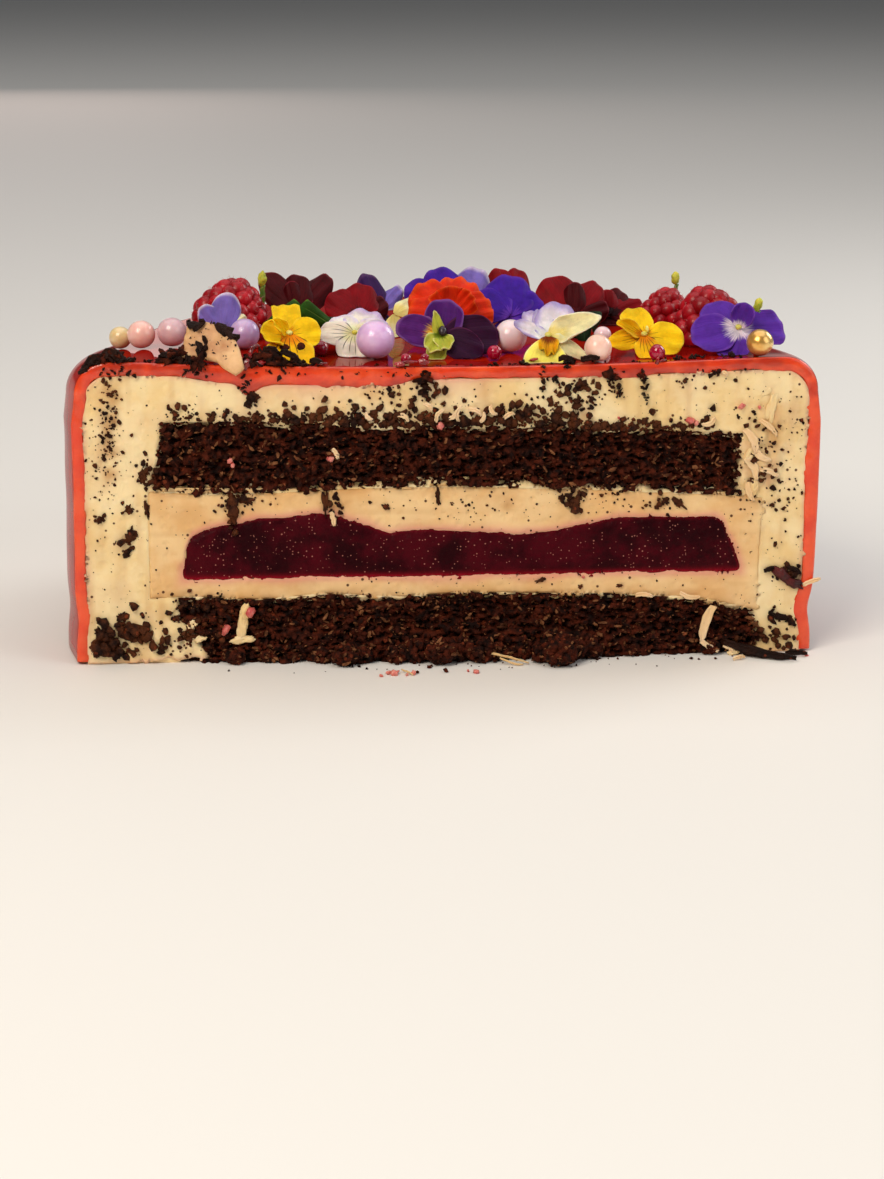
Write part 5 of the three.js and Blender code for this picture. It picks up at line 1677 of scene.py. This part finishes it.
curls = ribbons(
    "mousse_curls",
    [
        ((65.3, 0.7, 12.3), (62.6, 1.5, 3.5), 2.3, -0.5), ((62.4, 1.5, 3.7), (66.6, 2.6, 1.1), 1.2, -0.2),
        ((46, 0.6, 15.4), (50.2, 0.8, 14.9), 0.9, 0.4), ((57, 0.6, 15.6), (62, 0.8, 14.7), 1, -0.5),
        ((68.2, 1.2, 2.4), (70.4, 2.4, 0.7), 1, 0.4), ((69.4, 7.4, 0.4), (72.6, 6, 0.6), 0.7, 0.5),
        ((-28.7, 0.6, 37.2), (-28, 0.8, 33.8), 0.9, 0.2),
        ((-3.4, 0.5, 58.8), (-1.6, 0.8, 62.2), 0.7, 0.7), ((-1.2, 0.5, 59.6), (1.6, 0.8, 61.8), 0.8, -0.6),
        ((2, 0.5, 59), (2.6, 0.9, 62.9), 0.7, 0.8), ((4.2, 0.5, 61.8), (7.4, 0.8, 60.4), 0.8, 0.7),
        ((6.6, 0.5, 58.6), (8.2, 0.7, 61.2), 0.7, -0.5), ((-28.4, 0.4, 52.6), (-26.9, 0.6, 50.2), 0.8, 0.3),
        ((71.6, 0.5, 56.4), (74.6, 0.9, 50.4), 1.9, 0.8), ((73.8, 0.5, 52), (78.4, 0.8, 48.6), 1.5, -0.7),
        ((72.2, 0.5, 49.2), (75, 0.9, 43.8), 1.8, 0.6), ((75.4, 0.4, 58.6), (79.6, 0.7, 54.6), 1.1, 0.5),
        ((74.8, 0.4, 46.4), (80.4, 0.6, 44.6), 1.2, 0.6), ((72.8, 0.4, 43.2), (74.4, 0.8, 38.6), 1.3, -0.5),
        ((64.4, 0.5, 59.2), (61, 0.8, 57.6), 1, 0.6), ((87.6, 0.8, 17.2), (92, 0.6, 18.8), 0.9, 0.2),
        ((65.7, 0.6, 70.5), (66.9, 0.6, 69.4), 0.6, 0.3), ((-12.6, 0.5, 60.6), (-10, 0.7, 59.2), 0.9, 0.6),
        ((-20.4, 0.5, 61.4), (-18.6, 0.7, 59.8), 0.8, -0.6),
        ((12.8, 0.5, 59.4), (15.4, 0.7, 60.8), 0.8, 0.6), ((-6.4, 0.5, 63.4), (-4.6, 0.7, 61.6), 0.9, 0.6),
        ((9.6, 0.5, 62.8), (11.2, 0.7, 60.6), 0.8, -0.6),
    ],
    vanilla_mousse, "vanilla_mousse", 112,
)
mark(curls, "berry", 0.22 * np.ones(len(curls.data.vertices)))

# %% [markdown]
# A flat dark shard lies against the foot on the right, and a dried berry sticks out of the glaze
# above it. Pink and red bits of berry and a few pale straws lie on the sponge and in front of it.

# %% Shards, dried berry and bits
ribbons(
    "chocolate_shards",
    [
        ((67.6, 1, 3.2), (84.6, 9.6, 0.9), 2.2, -0.5), ((72.6, 3.6, 1), (82.4, 7.4, 0.7), 1.6, 0.3),
        ((83, 4.4, 0.8), (88.4, 5, 0.9), 1.2, 0.3), ((81.2, 0.3, 9.9), (86.4, 0.3, 6.8), 0.8, 0.3),
        ((79.4, 0.3, 10.4), (83.6, 0.3, 8.4), 0.6, -0.3), ((77.8, 0.3, 20.8), (81.4, 0.4, 21.6), 0.9, 0.3),
        ((83.6, 0.4, 21.8), (87, 0.4, 20), 0.7, 0.4),
    ],
    chocolate_chip, "chocolate_sponge", 114, 0.5,
)
daubs(
    "dried_berry",
    [((82, 0.5, 20.2), (2.9, 1, 1.3), -34), ((85.4, 0.6, 17.8), (2.6, 0.9, 1.1), -24)],
    dried_berry, "berry_compote", 116,
)
# each bit: x, distance ahead of the cut, z, radius
bits = np.array([
    (-52.7, 0.4, 50, 1.1), (-52.1, 0.4, 48.9, 0.6), (-28.8, 0.4, 50.2, 0.9), (58.4, 0.4, 58.5, 1.1),
    (59.8, 0.4, 57.9, 0.7), (-2.4, 0.4, 57.9, 0.8), (-54.2, 0.9, 8.3, 1.1), (-48.3, 1.3, 12.7, 1.2),
    (-17.6, 15.6, 0.3, 0.5), (-15.6, 13.6, 0.4, 0.8), (-14.4, 14.4, 0.4, 0.9), (-13.6, 13, 0.4, 0.6),
    (-11.4, 15.2, 0.3, 0.5), (-9.8, 14.4, 0.4, 0.7), (5.4, 14, 0.3, 0.6), (3.6, 12.8, 0.3, 0.5),
    (33, 0.5, 20, 0.4), (75.2, 0.4, 61.6, 0.6), (70.8, 0.4, 61.9, 0.8), (85.2, 2.8, 0.4, 0.8),
    (88.4, 4.6, 0.3, 0.6), (40.8, 0.4, 59.4, 0.5),
])
places = np.stack([bits[:, 0], CUT - PROUD - bits[:, 1], bits[:, 2]], 1)
crumbs("berry_bits", places, bits[:, 3], berry_bit, "berry_compote", 118, detail=2, rough=0.3, flat=0.5)
ribbons(
    "pale_straws",
    [
        ((9.2, 5.4, 2.6), (18.9, 7.4, 0.4), 0.4, 0.3), ((12, 6.6, 1.8), (17.4, 8.4, 0.4), 0.3, -0.3),
        ((-12.4, 11.4, 0.5), (-10, 15.4, 0.4), 0.3, 0.3),
    ],
    insert_cream, "insert_mousse", 120, 0.25,
)

# %% [markdown]
# Rounder clots of crumb are pressed into the mousse: a group in the lower left corner, a column
# of four above it, drips that hang from the upper sponge, and faint ones by the compote.

# %% Clots in the mousse
daubs(
    "dark_clots",
    [
        ((-79.5, 0, 11.8), (1.3, 0.8, 1.1), 20), ((-83.6, 0.1, 7.4), (1.5, 0.9, 2), 10),
        ((-78.6, 0.1, 8), (2, 0.9, 1.6), -30), ((-75.6, 0, 6.3), (1.4, 0.8, 1.2), 0),
        ((-72.5, 0, 7.2), (1.1, 0.7, 0.8), 20), ((-81.8, 0.2, 3.1), (2.4, 1, 1.8), -10),
        ((-85.4, 0.2, 3.6), (1.6, 0.9, 1.7), 0), ((-85, 0, 8.2), (0.8, 0.6, 0.9), 0),
        ((-77, 0.1, 3.2), (1.4, 0.8, 0.8), 10), ((-69.6, 0, 3.8), (1.1, 0.7, 0.9), 30),
        ((-66, 0, 11), (1, 0.7, 0.8), 0), ((-64.6, 0.1, 14.8), (1.4, 0.8, 1), 20),
        ((-77.1, 0, 38.4), (0.9, 0.6, 1), 0), ((-76.6, 0, 32.7), (1.2, 0.7, 1.6), 10),
        ((-77.3, 0, 28), (0.8, 0.6, 0.8), 0), ((-83.8, 0, 35.7), (0.9, 0.6, 0.8), 40),
        ((-72.7, 0, 38), (0.6, 0.6, 1.8), 4), ((-51.8, 0.2, 39), (1.5, 0.9, 3), 0),
        ((-52, 0.1, 35.6), (0.9, 0.7, 1.8), 0), ((-49, 0.1, 40.4), (1.6, 0.8, 1), -20),
        ((-30, 0.2, 39.6), (0.8, 0.7, 2.8), 0), ((-15.3, 0, 38.1), (1, 0.6, 0.7), -10),
        ((-2.9, 0.1, 40.6), (0.6, 0.6, 1.8), 4), ((30.4, 0.2, 38), (1.5, 0.9, 2.2), 10),
        ((27.4, 0.1, 39.6), (0.8, 0.6, 1.2), 0), ((56.2, 0.1, 38.2), (1.6, 0.7, 0.9), -40),
        ((52.8, 0.1, 38.6), (0.9, 0.6, 0.8), 0), ((22.4, 0, 19.2), (1.2, 0.5, 0.5), 20),
        ((42, 0, 17.6), (0.8, 0.5, 0.5), 0), ((32.4, 0, 17.6), (0.6, 0.5, 0.5), 0),
        ((-46.9, 0.1, 64.9), (1.1, 0.8, 1.4), 10), ((-73.6, 0.1, 46.4), (0.8, 0.6, 1.4), 0),
    ],
    loose_crumb, "chocolate_sponge", 134, uneven=0.55,
)

# %% [markdown]
# Along the front edge lie chocolate chips: heaps of them at the left corner and beside the
# flake, single ones elsewhere, some that have slid over the cut band, and some on the flake.
# Chips are flat and sharp, so they are crumbs with three different radii and flat shading.

# %% Chips along the front edge
ON_FLAKE_EDGE, ON_FLAKE_FACE = 46, 60
draw = np.random.default_rng(21)
places, radii = [], []
# each heap: middle x, spread of x, distance behind the cut, its spread, rise, count, chip size
heaps = (
    (-85, 1.6, 0.6, 1.4, 0.8, 22, 1.1), (-80.4, 2.4, 1.6, 1.6, 1.4, 42, 1.3),
    (-77.2, 1.2, 0.4, 0.8, 0.4, 12, 0.8), (-66.4, 1.9, 1.8, 1.4, 1.6, 40, 1.4),
    (-63.4, 1.3, 3.4, 1.2, 1.4, 20, 1.2), (-60.2, 1.4, -0.6, 0.6, 0.8, 18, 0.9),
    (-47.6, 1.4, 1.6, 1.2, 1, 20, 1.2), (-44.2, 2.6, 2.2, 1.6, 1.3, 44, 1.4),
    (-39.2, 2.6, 1.8, 1.4, 0.7, 34, 1.1), (-33.8, 2.2, 1.6, 1.2, 0.3, 14, 0.8),
    (10.6, 0.7, 0.6, 0.5, 0.2, 6, 0.9), (18.2, 0.8, 1.4, 0.8, 0.3, 7, 0.9),
    (28.4, 1, 1, 0.7, 0.3, 8, 1), (55.9, 0.7, 2.6, 0.8, 0.1, 5, 0.8),
    (60.8, 1.2, 3.4, 0.9, 0.3, 8, 0.9), (68.4, 1.4, 3, 1.2, 0.2, 9, 0.9),
    (-4, 26, 1.4, 1.3, 0, 40, 0.5), (40, 24, 1.6, 1.4, 0, 34, 0.5), (-70, 8, 1.8, 1.6, 0, 30, 0.6),
)
for x0, spread, behind, depth, rise, count, size in heaps:
    x = np.clip(draw.normal(x0, spread, count), -87, 82)
    y = CUT + np.maximum(draw.normal(behind, depth, count), -0.4)
    chip = size * (0.3 + 0.7 * draw.random(count) ** 1.6)
    lift = rise * draw.random(count) * np.maximum(0, 1 - np.abs(x - x0) / (1.6 * spread + 0.4)) * 1.5
    places.append(np.stack([x, y, edge_height(x) + 0.3 * chip + lift], 1))
    radii.append(chip)
# over the band: middle x, middle z, spreads of both, count, chip size
for x0, z0, across, down, count, size in (
    (-6.1, 69.8, 0.5, 0.7, 12, 0.9), (22.1, 69, 0.3, 2.4, 18, 0.7),
    (24.6, 69, 0.9, 0.8, 12, 0.7), (38.5, 69.6, 0.4, 1.2, 12, 0.8),
    (28.3, 72, 0.6, 0.4, 6, 0.8), (-10.5, 70.6, 0.5, 0.5, 6, 0.6),
    (46.9, 67.6, 0.4, 2.2, 22, 0.8), (40.7, 65.6, 0.6, 0.8, 10, 0.8),
    (34.7, 63.2, 0.8, 0.8, 10, 0.7), (63.8, 69.9, 0.6, 0.4, 9, 0.8),
    (-49.2, 68.4, 0.8, 1.4, 16, 0.7), (-60.6, 71.4, 1.4, 0.7, 14, 0.8),
    (-79.6, 71.6, 2.2, 0.6, 16, 0.8), (-41.6, 71.2, 2.4, 0.6, 14, 0.7),
    (-22, 70.6, 9, 0.6, 14, 0.4), (58, 70.4, 9, 0.6, 12, 0.4),
):
    x, z = draw.normal(x0, across, count), draw.normal(z0, down, count)
    z = np.minimum(z, edge_height(x) - 0.2)
    chip = size * (0.35 + 0.65 * draw.random(count) ** 1.6)
    places.append(np.stack([x, CUT - PROUD - 0.35 - 0.3 * chip, z], 1))
    radii.append(chip)
# on the flake: along its upper edge, specks on its face, and a few large chips
upper_edge = np.array(FLAKE_OUTLINE[2:7]).T
u = draw.uniform(-6.8, 5.2, ON_FLAKE_EDGE)
v = np.interp(u, *upper_edge) + draw.normal(-0.3, 0.5, ON_FLAKE_EDGE)
places.append(flake_points(u, v, draw.uniform(0, 1.9, ON_FLAKE_EDGE)))
radii.append(0.3 + 0.9 * draw.random(ON_FLAKE_EDGE) ** 2)
u, v = draw.uniform(-6, 5.4, ON_FLAKE_FACE), draw.uniform(0.8, 9, ON_FLAKE_FACE)
inside = v < 9.4 - 0.4 * np.maximum(u, 0) - 0.1 * u
places.append(flake_points(u, v, 0 * u + 1.75)[inside])
radii.append((0.14 + 0.5 * draw.random(ON_FLAKE_FACE) ** 3)[inside])
u = np.array([-5.2, -3.8, -4.6, 1.4, 2.8, 3.9, -2.4, -3.3, -1.6, -2.9, -1.9])
v = np.array([9.2, 9.2, 8.4, 8.4, 7.8, 6.9, 5.4, 4.0, 3.4, 2.4, 1.8])
places.append(flake_points(u, v, 0 * u + 1.7))
radii.append(np.array([1.7, 1.6, 1.1, 1.6, 1.7, 1.3, 1.3, 1.6, 1.3, 1.7, 1.5]))
places, radii = np.concatenate(places), np.concatenate(radii)
thin = radii[:, None] * np.array([1.25, 0.9, 0.42])
crumbs("chocolate_chips", places, thin, chocolate_chip, "chocolate_sponge", 22, rough=0.35, smooth=False)

# %% [markdown]
# Inside the heaps are softer clumps, rough on every side, and thin curls of chocolate that stand
# up out of them. `daubs` and `ribbons` make them too.

# %% Clumps and curls on the edge
cores = [
    ((-82.6, -1.2, 75), (2.2, 1.2, 1.1), 24), ((-79.2, -1.4, 75.4), (1.9, 1.1, 1), -30),
    ((-66.8, -1.8, 74.6), (2.3, 1.5, 1.5), 8), ((-64, -2.6, 75), (1.7, 1.3, 1.6), 60),
    ((-60.2, 0.9, 74.2), (1.3, 0.9, 2), 20), ((-47.4, -0.8, 74), (1.3, 1.1, 1.5), 0),
    ((-44.8, -1.2, 74.6), (2.2, 1.4, 1.7), -14), ((-41.2, -1.2, 74.2), (2.4, 1.4, 1.5), -24),
    ((-38, -1, 73.4), (2, 1.2, 1), -10), ((-6.1, 0.7, 69.6), (1.7, 0.9, 1.3), 10),
    ((39, 0.6, 69.6), (1.5, 0.7, 1.2), 40), ((46.2, 0.5, 69.4), (0.8, 0.5, 1.3), 20),
]
daubs("chocolate_clumps", cores, sponge_crumb, "chocolate_sponge", 130, uneven=0.9)
ribbons(
    "chocolate_curls",
    [
        ((-86.4, -0.6, 72.6), (-82.4, -1.2, 75.4), 1.6, 0.9),
        ((-85, -0.4, 74.8), (-80.8, -1.6, 74), 1.4, -0.8),
        ((-82, -1.2, 76.6), (-78.6, -0.8, 73.6), 1.9, 0.9),
        ((-79, -0.9, 76.4), (-76.6, -0.6, 74), 1.5, -0.7), ((-68.8, -1, 75.6), (-66, -1.2, 73.4), 1.3, 0.7),
        ((-62.4, -1.2, 75.4), (-63.6, -0.8, 72.8), 1.4, 0.6),
        ((-44.6, -0.8, 76.8), (-40.2, -1, 74.6), 1.2, 0.8),
        ((-40.6, -0.6, 76), (-36.2, -0.6, 73.6), 1.3, 0.7),
        ((-33.6, -0.5, 73.8), (-30.2, -0.6, 73), 1.1, 0.5),
        ((31.4, -0.8, 73.6), (36, -0.8, 73.8), 1.3, 0.2), ((26, -0.8, 73.7), (29.6, -0.8, 73.5), 1.2, 0.4),
    ],
    chocolate_chip, "chocolate_sponge", 132, 0.45,
)

# %% [markdown]
# Red jam has run from the beads over the edge, and stands in a glossy curl beside the flake. Green
# tips of buds look out from behind the raspberries, each on a stem that stands on the glaze.

# %% Jam and buds
daubs(
    "jam_drops",
    [
        ((-48.6, 0.3, 73.2), (1.6, 0.9, 0.9), 70), ((-47.6, -0.2, 75.6), (1.9, 0.6, 0.6), 76),
        ((-46.6, -0.6, 77.2), (1.3, 0.5, 0.5), 24), ((-45.6, -0.4, 73.4), (1.8, 0.8, 0.7), 8),
        ((-12.2, 0.3, 72.9), (1.3, 0.6, 0.7), 4), ((-6.6, 0.3, 73.3), (1.4, 0.6, 0.8), -6),
        ((-9.6, -0.8, 73.3), (2.6, 0.9, 0.35), 0), ((49.9, -0.2, 73), (1.5, 0.5, 0.5), 78),
        ((51, -0.6, 73.1), (1.4, 0.7, 0.4), 6), ((20.4, -3.2, 73.2), (1.2, 0.8, 0.35), 10),
        ((-30.6, -0.6, 73.1), (1.2, 0.8, 0.4), 0),
    ],
    jam_gloss, "berry_bead", 124, uneven=0.2,
)
# each bud: x, distance behind the cut, z of its middle, half length, radius, and its turn
BUDS = (
    (-43.1, 54, 86.2, 1.9, 1.15, 84), (63.4, 52, 86, 1.8, 1.1, 96), (77.8, 17.4, 84, 1.9, 1, 72),
)
tips, stems = [], []
for x, behind, z, half, round_by, lean in BUDS:
    foot = float(top_of_glaze(x, CUT + behind))
    tips.append(((x, -behind, z), (half, round_by, round_by), lean))
    stems.append(((x, -behind, foot), (x + 0.3, -behind, z - 0.8 * half), 0.9, 0.4))
daubs("bud_tips", tips, bud_skin, "leaf_green", 126, uneven=0.12)
ribbons("bud_stems", stems, stem_skin, "leaf_green", 128, 0.8)

# %% [markdown]
# The camera stands a little to the right of straight ahead and looks slightly down, as the photo
# was taken. Its place, angle and lens were fitted to points on the cake's outline and layers.

# %% Camera
CAMERA_TURN = math.radians(5.6)
CAMERA_DOWN = math.radians(14.3)
CAMERA_ROLL = math.radians(0.45)
CAMERA_AWAY = 650.0
FOCUS_LENGTH, PICTURE_HEIGHT = 2667.0, 1179.0  # in pixels of the photo
SENSOR = 36.0
aim = Vector((-1.6, CUT, 17.2))
back = Vector((
    -math.sin(CAMERA_TURN) * math.cos(CAMERA_DOWN),
    -math.cos(CAMERA_TURN) * math.cos(CAMERA_DOWN),
    math.sin(CAMERA_DOWN),
))
right = (-back).cross(Vector((0, 0, 1))).normalized()
up = right.cross(-back)
side = math.cos(CAMERA_ROLL) * right + math.sin(CAMERA_ROLL) * up
above = math.cos(CAMERA_ROLL) * up - math.sin(CAMERA_ROLL) * right
lens = bpy.data.cameras.new("camera")
lens.sensor_width = SENSOR
lens.lens = FOCUS_LENGTH / PICTURE_HEIGHT * SENSOR
lens.clip_end = 10
camera = in_scene("camera", lens)
camera.matrix_world = Matrix((side, above, back)).transposed().to_4x4()
camera.location = (aim + CAMERA_AWAY * back) * MM
bpy.context.scene.camera = camera
print("camera", round(lens.lens, 1), "mm lens at", tuple(round(c, 3) for c in camera.location))

# %% [markdown]
# A pale floor carries the cake's shadow. Five soft boxes light it as a pale room would: the main
# one from the left front, a weak one from the right front, a wide one overhead, a faint one far
# behind on the left, and one behind on the right that draws the rims of the flowers. A soft box
# is an area light, so its shadows have soft edges.

# %% Floor and light
pale, tree, shader = new_look("pale floor")
set_shader(tree, shader, Base_Color=tint("E9E5DF"), Roughness=0.7)
corners = [(-6000, -4000, 0), (6000, -4000, 0), (6000, 14000, 0), (-6000, 14000, 0)]
floor = mesh_piece("floor", corners, [(0, 1, 2, 3)], [pale], smooth=False)

# each soft box: its name, place, what it is aimed at, its side in metres, watts and colour
SOFT_BOXES = (
    ("main_light", (-0.55, -0.75, 0.8), (0, 0, 0.03), 0.6, 9.5, "FFF4E4"),
    ("fill_light", (0.8, -0.6, 0.5), (0, 0, 0.03), 0.7, 2.6, "FFFFFF"),
    ("over_light", (0.0, 0.3, 2.4), (0, 0, 0), 3.0, 34, "FFFFFF"),
    ("back_light", (-0.3, 2.0, 0.42), (-0.07, 0, 0.07), 0.5, 1.2, "FFE8E0"),
    ("rim_light", (0.75, 0.35, 0.5), (0, 0, 0.05), 0.4, 2.4, "FFFFFF"),
)
for name, place, aimed_at, wide, watts, colour in SOFT_BOXES:
    light = bpy.data.lights.new(name, "AREA")
    light.shape, light.size = "SQUARE", wide
    light.energy, light.color = watts, tint(colour)[:3]
    box = in_scene(name, light)
    box.location = place
    box.rotation_euler = (Vector(aimed_at) - Vector(place)).to_track_quat("-Z", "Y").to_euler()

world = bpy.data.worlds.new("studio")
world.use_nodes = True
room = world.node_tree.nodes["Background"]
room.inputs["Color"].default_value = tint("C9CDD2")
room.inputs["Strength"].default_value = 0.16
bpy.context.scene.world = world
bpy.context.scene.view_settings.view_transform = "Standard"
